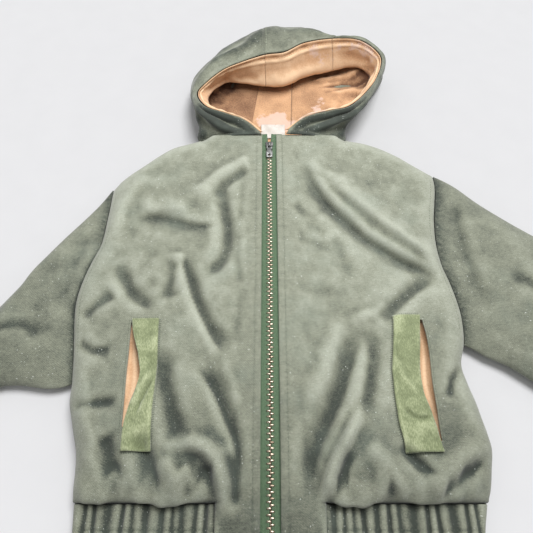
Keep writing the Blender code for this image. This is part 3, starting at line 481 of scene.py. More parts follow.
# ---------------------------------------------------------------- finer detail, for the looks only
# Smaller creases of the front, in the same columns as FOLDS.
CREASES = (
    (((30, 118), (62, 92), (84, 74)), 7, 5, 1.2),
    (((62, 66), (102, 36), (140, -4)), 14, 10, 1.2),
    (((20, 60), (34, 48), (52, 40)), 6, 6, -0.9),
    (((22, 20), (40, 10), (66, 0)), 8, 6, -1.0),
    (((18, -30), (40, -40), (60, -42)), 7, 6, -0.9),
    (((24, -66), (36, -92), (40, -120)), 7, 7, -0.8),
    (((104, -50), (90, -60), (64, -70)), 6, 5, 1.6),
    (((143, -117), (139, -130), (136, -140)), 3, 5, 1.4),
    (((150, -140), (158, -152), (160, -166)), 4, 5, 1.4),
    (((16, -120), (24, -150), (22, -190)), 6, 6, -1.0),
    (((-22, 96), (-27, 60), (-24, 30)), 5, 6, -1.1),
    (((-20, 64), (-24, 20), (-20, -30)), 4, 6, 0.9),
    (((-22, 36), (-30, 0), (-20, -40)), 5, 7, -1.1),
    (((-96, 60), (-118, 40), (-140, 10)), 12, 10, -1.6),
    (((-104, 10), (-118, -14), (-134, -34)), 9, 9, -1.6),
    (((-62, -24), (-54, -54), (-34, -84)), 7, 10, 1.4),
    (((-18, -30), (-26, -60), (-24, -100)), 5, 6, -0.9),
    (((-38, -100), (-30, -124), (-20, -150)), 5, 6, 1.2),
    (((-100, -22), (-112, -36), (-132, -40)), 8, 8, -1.2),
    (((-150, -142), (-138, -159), (-130, -176)), 3, 5, 1.4),
    (((-158, -106), (-146, -126), (-140, -150)), 3, 6, 1.0),
    (((-64, -150), (-72, -168), (-80, -176)), 6, 5, 1.6),
    (((-142, -176), (-130, -184), (-124, -200)), 5, 5, 1.8),
    (((-112, -168), (-104, -184), (-102, -200)), 4, 6, 1.4),
    (((-60, -196), (-66, -204), (-70, -214)), 4, 4, 1.6),
    (((104, -196), (100, -204), (102, -214)), 4, 4, 1.8),
    (((72, -196), (70, -206), (72, -216)), 4, 4, 1.6),
    (((148, -196), (146, -204), (148, -212)), 4, 4, 1.5),
)
# Folds of the sleeves' upper side, in the same columns.
SLEEVE_CREASES = (
    (((188, 74), (184, 20), (192, -70)), 7, 12, -4.5),
    (((205, 60), (232, 10), (240, -60)), 14, 14, 2.6),
    (((214, -20), (244, -40), (290, -110)), 9, 9, -3.0),
    (((250, 0), (262, -46), (300, -90)), 9, 11, 2.4),
    (((290, -60), (312, -84), (352, -104)), 7, 9, -2.6),
    (((300, -120), (322, -140), (350, -176)), 6, 8, 2.2),
    (((340, -60), (352, -110), (372, -150)), 6, 7, -2.2),
    (((186, -70), (206, -92), (240, -106)), 7, 7, 2.0),
    (((-176, 40), (-182, -10), (-190, -60)), 8, 12, -3.5),
    (((-198, 10), (-204, -40), (-196, -92)), 12, 12, -2.6),
    (((-214, 20), (-226, -30), (-232, -90)), 10, 10, 2.6),
    (((-196, -84), (-214, -70), (-246, -78)), 6, 8, -2.2),
    (((-236, -40), (-262, -84), (-276, -134)), 8, 8, -2.8),
    (((-268, -60), (-290, -100), (-300, -150)), 9, 9, 2.4),
    (((-300, -90), (-318, -130), (-326, -176)), 7, 8, -2.4),
    (((-330, -104), (-346, -150), (-352, -190)), 7, 7, 2.0),
    (((-362, -118), (-374, -160), (-386, -196)), 6, 7, -1.8),
)
# Folds of the hood's outside. row and share across of three points; softness along the rows, across; rise.
HOOD_CREASES = (
    (5.4, 0.70, 6.6, 0.80, 7.9, 0.90, 0.5, 0.05, 1.8),
    (4.6, 0.60, 6.2, 0.70, 7.8, 0.78, 0.5, 0.05, -2.2),
    (6.4, 0.60, 7.2, 0.66, 7.9, 0.70, 0.4, 0.04, 1.6),
    (0.4, 0.93, 1.6, 0.86, 3.4, 0.90, 0.5, 0.035, -3.6),
    (0.4, 0.84, 1.6, 0.76, 3.6, 0.80, 0.5, 0.035, 2.6),
    (0.4, 0.74, 1.8, 0.66, 3.4, 0.70, 0.5, 0.040, -3.2),
    (0.4, 0.62, 1.6, 0.56, 3.2, 0.60, 0.5, 0.040, 2.2),
    (15.4, 0.92, 17.2, 0.86, 18.7, 0.94, 0.5, 0.035, -3.8),
    (15.0, 0.82, 17.0, 0.77, 18.6, 0.84, 0.5, 0.035, 2.8),
    (15.2, 0.72, 16.8, 0.67, 18.6, 0.74, 0.5, 0.040, -3.4),
    (15.4, 0.60, 17.0, 0.57, 18.6, 0.62, 0.5, 0.040, 2.2),
    (13.4, 0.84, 14.4, 0.74, 15.6, 0.64, 0.5, 0.05, -1.6),
    (11.4, 0.60, 12.2, 0.72, 12.6, 0.88, 0.3, 0.06, -1.6),
    (8.4, 0.58, 9.4, 0.64, 10.4, 0.62, 0.5, 0.06, 1.6),
    (8.6, 0.72, 9.6, 0.70, 10.6, 0.78, 0.5, 0.05, -1.4),
)
# Folds of the hood's lining, in the same columns.
LINING_CREASES = (
    (4.2, 0.62, 5.2, 0.58, 6.6, 0.54, 0.4, 0.04, -1.8),
    (3.6, 0.52, 4.6, 0.46, 6.0, 0.40, 0.3, 0.04, 1.8),
    (5.0, 0.26, 6.0, 0.36, 7.4, 0.48, 0.22, 0.05, 2.0),
    (5.4, 0.16, 6.6, 0.26, 7.6, 0.40, 0.18, 0.05, -1.8),
    (7.0, 0.10, 7.3, 0.30, 7.4, 0.56, 0.12, 0.10, -1.8),
    (7.9, 0.14, 8.5, 0.34, 8.7, 0.58, 0.10, 0.10, -2.0),
    (8.5, 0.20, 8.9, 0.38, 9.2, 0.58, 0.08, 0.10, 1.8),
    (9.1, 0.10, 9.5, 0.30, 9.7, 0.54, 0.10, 0.10, -1.9),
    (10.0, 0.10, 10.2, 0.30, 10.6, 0.56, 0.10, 0.10, 1.7),
    (10.4, 0.14, 10.7, 0.30, 11.2, 0.54, 0.10, 0.10, -2.2),
    (11.4, 0.16, 11.9, 0.34, 12.4, 0.54, 0.14, 0.10, 2.0),
    (12.2, 0.16, 12.7, 0.34, 13.2, 0.56, 0.14, 0.10, -1.9),
    (13.0, 0.20, 13.6, 0.36, 14.2, 0.56, 0.2, 0.08, 1.8),
    (14.2, 0.30, 14.8, 0.44, 15.6, 0.60, 0.3, 0.05, -1.8),
    (16.0, 0.40, 16.6, 0.56, 17.6, 0.66, 0.3, 0.05, -1.8),
    (2.0, 0.40, 3.0, 0.52, 4.4, 0.60, 0.3, 0.05, 1.6),
    (6.6, 0.76, 7.2, 0.80, 7.8, 0.78, 0.3, 0.035, -1.6),
    (8.6, 0.74, 9.6, 0.78, 10.8, 0.75, 0.4, 0.035, 1.2),
    (11.2, 0.86, 12.2, 0.80, 13.0, 0.84, 0.3, 0.04, -1.4),
    (12.4, 0.70, 13.4, 0.76, 14.6, 0.74, 0.4, 0.05, -2.0),
    (14.0, 0.86, 14.8, 0.80, 15.8, 0.86, 0.3, 0.04, 1.4),
    (4.4, 0.84, 5.4, 0.78, 6.2, 0.84, 0.3, 0.04, -1.3),
)
STITCH_LINE = {"right": 12.9, "left": 13.6}     # topstitching beside the zip, from the zip line
STITCH = {"length": 2.3, "pitch": 3.1, "radius": 0.26}
TEETH = {"pitch": 4.2, "length": 3.7, "past": 0.7, "thick": 2.0, "high": 2.4}
CASING_LINES = (-226.0, -243.0)                 # y of the stitch lines along the hem's casing

# Marks on the lining. place x, y, z; radius; strength, which is 1 for a hole.
LINING_STAINS = (
    (56, 259, 44, 9, 1.0), (66, 255, 40, 11, 1.0), (77, 258, 40, 10, 1.0), (86, 262, 44, 10, 1.0),
    (99, 264, 45, 11, 1.0), (112, 260, 42, 10, 0.9), (72, 248, 34, 7, 0.8),
    (68, 236, 14, 6, 0.9), (61, 224, 10, 6, 1.0), (55, 210, 8, 6, 1.0), (48, 198, 6, 6, 0.8),
    (36, 172, 30, 8, 1.0), (52, 176, 34, 9, 1.0), (68, 181, 34, 8, 0.9), (84, 187, 34, 8, 0.6),
    (-4, 190, 5, 9, 1.0), (10, 194, 5, 10, 1.0), (24, 184, 5, 9, 1.0), (36, 176, 8, 9, 0.8),
    (-62, 192, 28, 6, 0.6), (-40, 172, 30, 6, 0.4),
)
# holes in the lining, painted near black as painted shade: place x, y, z; radius
LINING_HOLES = ((74.9, 252, 36, 1.5), (102.5, 242.5, 22, 1.8), (64.7, 220, 8, 1.2), (58.8, 218.5, 8, 1.0))

# Uneven cloth. wavelength, direction in degrees, phase, size.
RIPPLES = (
    (61, 12, 0.3, 0.30), (47, 71, 1.9, 0.28), (38, 128, 4.1, 0.22), (29, 40, 2.2, 0.18),
    (23, 98, 5.0, 0.14), (17, 155, 0.9, 0.10), (13, 63, 3.3, 0.07), (9.5, 17, 1.1, 0.05),
)
# Creases of the pocket welts, in the same columns as FOLDS.
WELT_CREASES = {
    "right": (
        (((-92, -116), (-98, -134), (-104, -152)), 1.8, 3.5, -1.6),
        (((-96, -112), (-102, -130), (-107, -144)), 3, 2.0, 1.0),
        (((-100, -96), (-97, -106), (-99, -116)), 2.5, 3, -0.7),
    ),
    "left": (
        (((100, -142), (112, -151), (124, -150)), 2.0, 3.5, -1.2),
        (((100, -96), (106, -120), (117, -136)), 3, 3, 0.8),
        (((97, -76), (103, -92), (103, -108)), 3, 3, -0.7),
    ),
}


def ripple(x, y):
    """Soft irregular waves, about 1 high, from a few crossing sines."""
    total = np.zeros_like(x)
    for length, angle, start, size in RIPPLES:
        a = math.radians(angle)
        total += size * np.sin(2 * math.pi * (x * math.cos(a) + y * math.sin(a)) / length + start)
    return total


def fold_line(points):
    """A smooth line through the points that a fold follows."""
    return spline(points, np.linspace(0, len(points) - 1, 12 * (len(points) - 1) + 1))


def line_folds(table, x, y, least):
    """Sum of the folds in a table with FOLDS' columns. Each fades and widens towards its two ends."""
    total = np.zeros_like(x)
    for points, left, right, rise in table:
        line = fold_line(points)
        reach = 3.2 * max(left, right, least)
        near = (
            (x > line[:, 0].min() - reach) & (x < line[:, 0].max() + reach)
            & (y > line[:, 1].min() - reach) & (y < line[:, 1].max() + reach)
        )
        if not near.any():
            continue
        px, py = x[near], y[near]
        best = np.full(px.shape, np.inf)
        where = np.zeros(px.shape)
        turn = np.zeros(px.shape)
        for k in range(len(line) - 1):
            along = line[k + 1] - line[k]
            long = np.hypot(*along)
            dx, dy = px - line[k, 0], py - line[k, 1]
            t = np.clip((dx * along[0] + dy * along[1]) / long**2, 0, 1)
            gap = np.hypot(dx - t * along[0], dy - t * along[1])
            closer = gap < best
            best = np.where(closer, gap, best)
            where = np.where(closer, (k + t) / (len(line) - 1), where)
            turn = np.where(closer, (along[0] * dy - along[1] * dx) / long, turn)
        side = 0.5 + 0.5 * np.tanh(turn / (0.35 * least))
        softness = np.maximum(left * side + right * (1 - side), least)
        ends = smooth(where, 0, 0.26) * smooth(1 - where, 0, 0.26)
        softness = softness * (1.15 - 0.30 * ends)
        total[near] += rise * np.exp(-((best / softness) ** 2)) * ends
    return total


def fold_heights(x, y):
    """Sum of the folds at each point, on the fine grid."""
    return FOLD_DEPTH * line_folds(FOLDS, x, y, FINEST)


def front_detail(side, x, y):
    """What the fine grid adds to the front's height: creases, uneven cloth, seams and their puckers."""
    flat = SIGN[side] * x
    tip = shoulder_tip(side)
    width = half_width(side, np.minimum(y, tip[1]))
    free = smooth(x, 17, 30) * smooth(width - x, 2, 16) * smooth(y - WAIST_Y, 3, 18)
    free = free * smooth(top_line(side, x) - y, 2, 12)
    rows = POCKETS[side]
    pocket = smooth(x, rows[0][1] - 14, rows[0][1] - 4) * smooth(-x, -rows[0][3] - 14, -rows[0][3] - 4)
    low, high = rows[-1][0], rows[0][0]
    pocket = pocket * smooth(y, low - 12, low - 3) * smooth(-y, -high - 12, -high - 3)
    free = free * (1 - pocket)
    added = line_folds(CREASES, flat, y, FINEST) * free + 0.95 * ripple(flat, y) * free
    groove = np.exp(-(((x - STITCH_LINE[side]) / 0.9) ** 2))
    near = np.exp(-(((x - STITCH_LINE[side]) / 4.0) ** 2))
    pucker = np.sin(y * 0.83 + 1.7 * np.sin(y * 0.11)) * np.sin(y * 0.21 + 0.6 + np.sin(y * 0.057))
    return added - 0.25 * groove + 0.14 * near * pucker * smooth(x, ZIP_EDGE, ZIP_EDGE + 2)


def scallops(x, y):
    """How unevenly the loose cloth hangs over the hem between its gathers."""
    low = smooth(y - WAIST_Y, 0, 8) * smooth(WAIST_Y + 30 - y, 0, 18) * smooth(x, 42, 54)
    return low * (2.2 * np.sin(0.20 * x + 1.1 * np.sin(0.07 * x)) + 1.5 * np.sin(0.46 * x + 2.0))


# ---------------------------------------------------------------- fine grids
def front_points(side, x, y, lift=0.0):
    """Points of the front panel's middle, or lift above it; x is the distance from the zip line."""
    z = front_height(side, x, y) + front_detail(side, x, y) + lift
    fallen = y - np.where(y > WAIST_Y, overhang(side, x, y) + scallops(x, y), 0)
    return np.stack([SIGN[side] * x, fallen, z], axis=-1)


def fine_front(side):
    """The front panel's grid, and the faces it has: the part below the waist is only beside the zip."""
    grid = FRONT_GRID
    width = float(half_width(side, WAIST_Y))
    flat = np.linspace(ZIP_EDGE, STRIP_EDGE, grid["strip"] + 1)
    loose = np.linspace(STRIP_EDGE, width - EDGE_R, grid["loose"] + 1)[1:]
    turn = (width - edge_steps(EDGE_R, grid["side"]))[::-1][1:]
    across = (np.concatenate([flat, loose, turn]) - ZIP_EDGE) / (width - ZIP_EDGE)
    span = NECK_Y - WAIST_Y
    low = edge_steps(WAIST_R, grid["waist"])
    high = span - edge_steps(SHOULDER_R, grid["shoulder"])[::-1]
    up = np.concatenate([low, np.linspace(WAIST_R, span - SHOULDER_R, grid["up"])[1:-1], high]) / span
    u, v = np.meshgrid(across, up)
    tip = shoulder_tip(side)
    top = top_line(side, ZIP_EDGE + (tip[0] - ZIP_EDGE) * u)
    y = WAIST_Y + (top - WAIST_Y) * v
    x = ZIP_EDGE + (half_width(side, np.minimum(y, tip[1])) - ZIP_EDGE) * u
    hem_v = np.linspace(HEM_Y, WAIST_Y, grid["hem"] + 1)[:-1]
    hem_x = np.broadcast_to(x[0], (grid["hem"], len(across)))
    x = np.concatenate([hem_x, x])
    y = np.concatenate([np.broadcast_to(hem_v[:, None], hem_x.shape), y])
    used = np.ones((len(y) - 1, len(across) - 1), bool)
    used[:grid["hem"], grid["strip"]:] = False
    return front_points(side, x, y), used


def fine_sleeve(side):
    """The sleeve's rings on a fine grid, with its folds and its cuff."""
    points = sleeve_rings(side)
    flat, y = points[..., 0], points[..., 1]
    count = points.shape[1]
    c = np.cos(np.linspace(0, 2 * math.pi, count, endpoint=False))
    upper = (np.arange(count) < count / 2) * np.sqrt(np.maximum(0, 1 - c * c))
    along = np.linspace(0, 1, len(points))[:, None]
    free = upper * smooth(along, 0.01, 0.07) * smooth(1 - along, 0, 0.05)
    points[..., 2] += (line_folds(SLEEVE_CREASES, flat, y, FINEST) + 0.6 * ripple(flat, y)) * free
    seam = np.exp(-((((1 - along) * 300 - 22) / 1.2) ** 2))
    points[..., 2] -= 0.4 * seam * upper
    pucker = np.sin(y * 1.1 + np.sin(y * 0.3)) * np.exp(-(((along * 300) / 9) ** 2)) * upper
    points[..., 2] += 0.5 * pucker * smooth(along, 0.004, 0.02)
    return points


def surface_normals(points):
    """Unit normals of a grid of points."""
    down = np.gradient(points, axis=0)
    across = np.gradient(points, axis=1)
    normal = np.cross(across, down)
    return normal / np.maximum(np.linalg.norm(normal, axis=-1, keepdims=True), 1e-9)


def band_folds(table, at, across):
    """Height of the folds of a lofted piece at its rows and shares across."""
    rows, shares = np.meshgrid(at, across, indexing="ij")
    total = np.zeros_like(rows)
    steps = np.linspace(0, 1, 25)
    for r1, s1, r2, s2, r3, s3, wide, tall, rise in table:
        line_r = (1 - steps) ** 2 * r1 + 2 * steps * (1 - steps) * (2 * r2 - (r1 + r3) / 2) + steps**2 * r3
        line_s = (1 - steps) ** 2 * s1 + 2 * steps * (1 - steps) * (2 * s2 - (s1 + s3) / 2) + steps**2 * s3
        gap = ((rows[..., None] - line_r) / wide) ** 2 + ((shares[..., None] - line_s) / tall) ** 2
        nearest = gap.argmin(axis=-1)
        fade = smooth(steps[nearest], 0, 0.25) * smooth(1 - steps[nearest], 0, 0.25)
        total += rise * np.exp(-np.take_along_axis(gap, nearest[..., None], -1)[..., 0]) * fade
    return total


# ---------------------------------------------------------------- materials
class Nodes:
    """Short calls for building a material's nodes."""

    def __init__(self, name):
        self.material = bpy.data.materials.new(name)
        self.material.use_nodes = True
        self.tree = self.material.node_tree
        self.shader = self.tree.nodes["Principled BSDF"]
        self.place = self.add("ShaderNodeTexCoord").outputs["Object"]

    def add(self, kind, **values):
        node = self.tree.nodes.new(kind)
        for name, value in values.items():
            setattr(node, name, value)
        return node

    def link(self, out, into):
        self.tree.links.new(out, into)

    def set(self, node, socket, value):
        if isinstance(value, bpy.types.NodeSocket):
            self.link(value, node.inputs[socket])
        else:
            node.inputs[socket].default_value = value

    def noise(self, size_mm, detail=3.0, rough=0.55, place=None):
        node = self.add("ShaderNodeTexNoise")
        self.link(place or self.place, node.inputs["Vector"])
        node.inputs["Scale"].default_value = 1 / (size_mm * MM)
        node.inputs["Detail"].default_value = detail
        node.inputs["Roughness"].default_value = rough
        return node.outputs["Fac"]

    def wave(self, size_mm, direction="DIAGONAL", distortion=1.0, place=None):
        node = self.add("ShaderNodeTexWave", wave_type="BANDS", bands_direction=direction)
        self.link(place or self.place, node.inputs["Vector"])
        node.inputs["Scale"].default_value = math.pi / 10 / (size_mm * MM)
        node.inputs["Distortion"].default_value = distortion
        node.inputs["Detail"].default_value = 2.0
        node.inputs["Detail Scale"].default_value = 2.0
        return node.outputs["Fac"]

    def stretched(self, sx, sy, sz=1.0, turn=0.0):
        node = self.add("ShaderNodeMapping")
        self.link(self.place, node.inputs["Vector"])
        node.inputs["Scale"].default_value = (sx, sy, sz)
        node.inputs["Rotation"].default_value = (0, 0, math.radians(turn))
        return node.outputs["Vector"]

    def math(self, operation, a, b=0.0, clamp=False):
        node = self.add("ShaderNodeMath", operation=operation, use_clamp=clamp)
        self.set(node, 0, a)
        self.set(node, 1, b)
        return node.outputs[0]

    def total(self, *values):
        level = values[0]
        for value in values[1:]:
            level = self.math("ADD", level, value)
        return level

    def span(self, value, low, high, to_low=0.0, to_high=1.0):
        node = self.add("ShaderNodeMapRange", clamp=True)
        self.set(node, "Value", value)
        node.inputs["From Min"].default_value = low
        node.inputs["From Max"].default_value = high
        node.inputs["To Min"].default_value = to_low
        node.inputs["To Max"].default_value = to_high
        return node.outputs["Result"]

    def mix(self, factor, a, b):
        node = self.add("ShaderNodeMix", data_type="RGBA")
        self.set(node, 0, factor)
        self.set(node, 6, a if isinstance(a, bpy.types.NodeSocket) else (*a, 1))
        self.set(node, 7, b if isinstance(b, bpy.types.NodeSocket) else (*b, 1))
        return node.outputs[2]

    def attribute(self, name):
        node = self.add("ShaderNodeAttribute", attribute_name=name)
        return node.outputs["Fac"]

    def bump(self, height, strength, distance_mm, before=None):
        node = self.add("ShaderNodeBump")
        node.inputs["Strength"].default_value = strength
        node.inputs["Distance"].default_value = distance_mm * MM
        self.link(height, node.inputs["Height"])
        if before is not None:
            self.link(before, node.inputs["Normal"])
        return node.outputs["Normal"]

    def finish(self, colour, rough, normal, metal=0.0, sheen=0.0):
        self.link(colour, self.shader.inputs["Base Color"])
        self.set(self.shader, "Roughness", rough)
        self.link(normal, self.shader.inputs["Normal"])
        self.shader.inputs["Metallic"].default_value = metal
        self.shader.inputs["Sheen Weight"].default_value = sheen
        self.shader.inputs["Sheen Roughness"].default_value = 0.5
        return self.material


SHELL_DARK = (0.030, 0.038, 0.029)
SHELL_MID = (0.202, 0.214, 0.160)
SHELL_PALE = (0.375, 0.395, 0.325)


def shell_material():
    """Washed olive twill with lint: paler where it stands proud (wear and painted highlight), darker in the
    folds and low down (painted shade).
    """
    n = Nodes("shell_twill")
    large = n.noise(70, 4.0, 0.6)
    small = n.noise(7, 5.0, 0.7)
    thread = n.noise(0.8, 2.0, 0.7)
    slub = n.noise(1.1, 2.0, 0.6, place=n.stretched(0.30, 1.0))
    twill = n.wave(0.95, "DIAGONAL", 0.6)
    # the stored level darkens hollows, the hem, sides and sleeves as painted shade and lightens ridges as
    # painted highlight
    level = n.total(
        n.span(large, 0.3, 0.7, -0.13, 0.13), n.span(small, 0.3, 0.7, -0.13, 0.13),
        n.span(thread, 0.25, 0.75, -0.26, 0.26), n.span(slub, 0.3, 0.7, -0.12, 0.12),
        n.span(twill, 0, 1, -0.04, 0.04), n.attribute("wear_and_painted_shade"),
    )
    dark = n.span(level, -0.75, 0.0)
    pale = n.span(level, 0.0, 0.75)
    colour = n.mix(pale, n.mix(dark, SHELL_DARK, SHELL_MID), SHELL_PALE)
    cool = n.noise(38, 3.0, 0.6)
    colour = n.mix(n.span(cool, 0.5, 0.75, 0.0, 0.22), colour, (0.165, 0.205, 0.170))
    lint = n.span(n.noise(1.5, 1.0, 0.5), 0.715, 0.77)
    dust = n.span(n.noise(26, 2.0, 0.5), 0.38, 0.60)
    colour = n.mix(n.math("MULTIPLY", n.math("MULTIPLY", lint, dust), 0.85), colour, (0.60, 0.63, 0.58))
    scuff = n.span(n.noise(2.4, 4.0, 0.7, place=n.stretched(1.0, 0.22, 1, 24)), 0.66, 0.74)
    colour = n.mix(n.math("MULTIPLY", n.math("MULTIPLY", scuff, dust), 0.30), colour, (0.50, 0.54, 0.49))
    fine = n.bump(thread, 0.35, 0.5)
    bump = n.bump(twill, 0.22, 0.35, fine)
    return n.finish(colour, n.span(small, 0.3, 0.7, 0.80, 0.92), bump, sheen=0.25)


def lining_material():
    """Peach cotton, creased, with pale stains and a few small holes."""
    n = Nodes("lining_cotton")
    soft = n.noise(24, 4.0, 0.6)
    fleck = n.noise(1.3, 2.0, 0.6)
    weave = n.wave(0.8, "X", 0.4)
    # the stored level brings painted light on the hood's turned band and painted shade in its hollows and
    # deep inside
    level = n.total(
        n.span(soft, 0.3, 0.7, -0.18, 0.18), n.span(fleck, 0.3, 0.7, -0.16, 0.16), n.attribute("wear_and_painted_shade"),
    )
    colour = n.mix(n.span(level, -0.70, 0.0), (0.115, 0.050, 0.024), (0.54, 0.315, 0.170))
    colour = n.mix(n.span(level, 0.0, 0.65), colour, (0.76, 0.53, 0.335))
    ragged = n.math("ADD", n.attribute("stain"), n.span(n.noise(6, 3.0, 0.6), 0.3, 0.7, -0.22, 0.22))
    stain = n.span(ragged, 0.36, 0.52)
    colour = n.mix(n.math("MULTIPLY", stain, 0.62), colour, (0.66, 0.50, 0.44))
    # the holes are painted near black: painted shade in the space behind them
    hole = n.span(n.attribute("hole"), 0.45, 0.60)
    colour = n.mix(hole, colour, (0.02, 0.012, 0.010))
    bump = n.bump(weave, 0.18, 0.3, n.bump(n.noise(2.2, 3.0, 0.6), 0.35, 0.6))
    return n.finish(colour, n.span(fleck, 0.3, 0.7, 0.82, 0.95), bump, sheen=0.15)


def welt_material():
    """Napped moss-green edging: short brushed fibres."""
    n = Nodes("welt_nap")
    streak = n.noise(1.6, 3.0, 0.65, place=n.stretched(2.2, 0.75, 1, 14))
    patch = n.noise(12, 3.0, 0.6)
    # the stored level adds painted shade in the welt's creases and paler, worn and painted-highlight ridges
    level = n.total(
        n.span(streak, 0.28, 0.72, -0.35, 0.35), n.span(patch, 0.3, 0.7, -0.2, 0.2), n.attribute("wear_and_painted_shade"),
    )
    colour = n.mix(n.span(level, -0.7, 0.0), (0.085, 0.105, 0.045), (0.210, 0.245, 0.125))
    colour = n.mix(n.span(level, 0.0, 0.6), colour, (0.44, 0.480, 0.290))
    bump = n.bump(streak, 0.75, 0.9)
    return n.finish(colour, n.span(patch, 0.3, 0.7, 0.88, 0.98), bump, sheen=0.5)


def tape_material():
    """Woven zip tape with ribs along it."""
    n = Nodes("zip_tape_weave")
    rib = n.wave(1.1, "X", 0.15)
    cross = n.wave(0.7, "DIAGONAL", 0.3)
    fleck = n.noise(1.2, 2.0, 0.6)
    level = n.math("ADD", n.span(fleck, 0.3, 0.7, 0.1, 0.6), n.span(cross, 0, 1, -0.2, 0.3))
    colour = n.mix(n.math("MULTIPLY", level, 1.0, clamp=True), (0.035, 0.070, 0.034), (0.135, 0.215, 0.120))
    bump = n.bump(cross, 0.3, 0.3, n.bump(rib, 0.5, 0.4))
    return n.finish(colour, n.span(fleck, 0.3, 0.7, 0.7, 0.85), bump, sheen=0.1)


def label_material():
    n = Nodes("label_weave")
    weave = n.wave(0.6, "X", 0.2)
    fleck = n.noise(1.4, 2.0, 0.6)
    soft = n.noise(8, 3.0, 0.6)
    colour = n.mix(n.span(soft, 0.3, 0.7), (0.50, 0.46, 0.41), (0.66, 0.63, 0.59))
    colour = n.mix(n.span(fleck, 0.3, 0.7, 0.0, 0.25), colour, (0.40, 0.36, 0.31))
    return n.finish(colour, n.span(fleck, 0.3, 0.7, 0.7, 0.85), n.bump(weave, 0.3, 0.25))


def thread_material(name, dark, light):
    n = Nodes(name)
    twist = n.wave(0.5, "DIAGONAL", 0.3)
    fade = n.noise(14, 3.0, 0.6)
    colour = n.mix(n.math("ADD", n.span(twist, 0, 1, 0, 0.4), n.span(fade, 0.3, 0.7, 0, 0.6)), dark, light)
    return n.finish(colour, n.span(fade, 0.3, 0.7, 0.55, 0.75), n.bump(twist, 0.4, 0.1), sheen=0.1)


def metal_material(name, bright, dull, rough, scale=1.0):
    """Worn metal: bright where rubbed, dull in patches."""
    n = Nodes(name)
    patch = n.noise(2.4 * scale, 4.0, 0.65)
    grain = n.noise(0.35 * scale, 2.0, 0.6)
    colour = n.mix(n.span(patch, 0.38, 0.66), bright, dull)
    shine = n.math("ADD", n.span(patch, 0.35, 0.7, rough, rough + 0.2), n.span(grain, 0.3, 0.7, -0.05, 0.08))
    return n.finish(colour, shine, n.bump(grain, 0.15, 0.05), metal=1.0)


LOOKS = {
    "shell": shell_material(),
    "lining": lining_material(),
    "welt": welt_material(),
    "tape": tape_material(),
    "label": label_material(),
    "thread": thread_material("thread_green", (0.050, 0.070, 0.045), (0.125, 0.150, 0.105)),
    "thread_pale": thread_material("thread_faded", (0.24, 0.27, 0.19), (0.40, 0.43, 0.33)),
    "thread_brown": thread_material("thread_brown", (0.20, 0.10, 0.05), (0.36, 0.21, 0.12)),
    "thread_tape": thread_material("thread_tape", (0.035, 0.075, 0.035), (0.09, 0.16, 0.085)),
    "teeth": metal_material("zip_teeth_brass", (0.58, 0.51, 0.41), (0.27, 0.20, 0.14), 0.26),
    "metal": metal_material("zip_slider_plating", (0.25, 0.25, 0.245), (0.075, 0.075, 0.072), 0.44, 0.6),
}


def add_object(name, data):
    obj = bpy.data.objects.new(name, data)
    bpy.context.scene.collection.objects.link(obj)
    return obj


def placed(points):
    return (np.asarray(points, float).reshape(-1, 3) - (ORIGIN[0], ORIGIN[1], 0)) * MM


def blurred(grid, passes, ring):
    out = grid.copy()
    for _ in range(passes):
        padded = np.pad(out, ((1, 1), (0, 0)), mode="edge")
        out = (padded[:-2] + 2 * padded[1:-1] + padded[2:]) / 4
        padded = np.pad(out, ((0, 0), (1, 1)), mode="wrap" if ring else "edge")
        out = (padded[:, :-2] + 2 * padded[:, 1:-1] + padded[:, 2:]) / 4
    return out


def blurred_points(points, passes, ring):
    return np.stack([blurred(points[..., k], passes, ring) for k in range(3)], axis=-1)


def wear_and_painted_shade_of(points, ring, strength):
    """Ridge wear and painted shade: positive on ridges and edges (paler, worn and painted highlight),
    negative in hollows (painted shade); how far each point stands off what is round it.
    """
    near = blurred_points(points, 8, ring)
    far = blurred_points(points, 70, ring)
    normal = surface_normals(blurred_points(points, 10, ring))
    outward = points - points.mean(axis=1, keepdims=True) if ring else np.array([0.0, 0.0, 1.0])
    normal = normal * np.sign((normal * outward).sum())
    fine = ((points - near) * normal).sum(axis=-1)
    broad = ((near - far) * normal).sum(axis=-1)
    return strength * 0.60 * np.tanh(fine * 1.1 + broad * 0.17)


def body_painted_shade(points):
    """Painted shade of the body: darker towards the hem and its sides, with a little painted light on the
    chest.
    """
    x, y = points[..., 0], points[..., 1]
    low = smooth(-y, 70, 215)
    side = smooth(np.abs(x), 95, 175) * smooth(-y, -40, 120)
    return -0.36 * low - 0.20 * side + 0.04 * smooth(y, 20, 110)


def sleeve_painted_shade(points):
    """Painted shade of the sleeves: darker all over and towards the cuff, darkest beside the armhole seam."""
    along = np.linspace(0, 1, len(points))[:, None] * np.ones(points.shape[1])
    return -0.24 - 0.45 * np.exp(-((along / 0.06) ** 2)) - 0.08 * smooth(along, 0.3, 0.9)


def hood_painted_shade(at, across):
    """Painted shade of the hood: a little all over, darkest in the crumpled cloth under its rim, on both
    sides of the neck.
    """
    at, across = np.asarray(at)[:, None], np.asarray(across)[None, :]
    neck = smooth(3.6 - at, 0, 1.4) + smooth(at - 15.4, 0, 1.2)
    under_rim = smooth(across, 0.66, 0.82) * smooth(1 - across, 0.0, 0.05)
    return -0.10 - 0.16 * neck - 0.62 * neck * under_rim


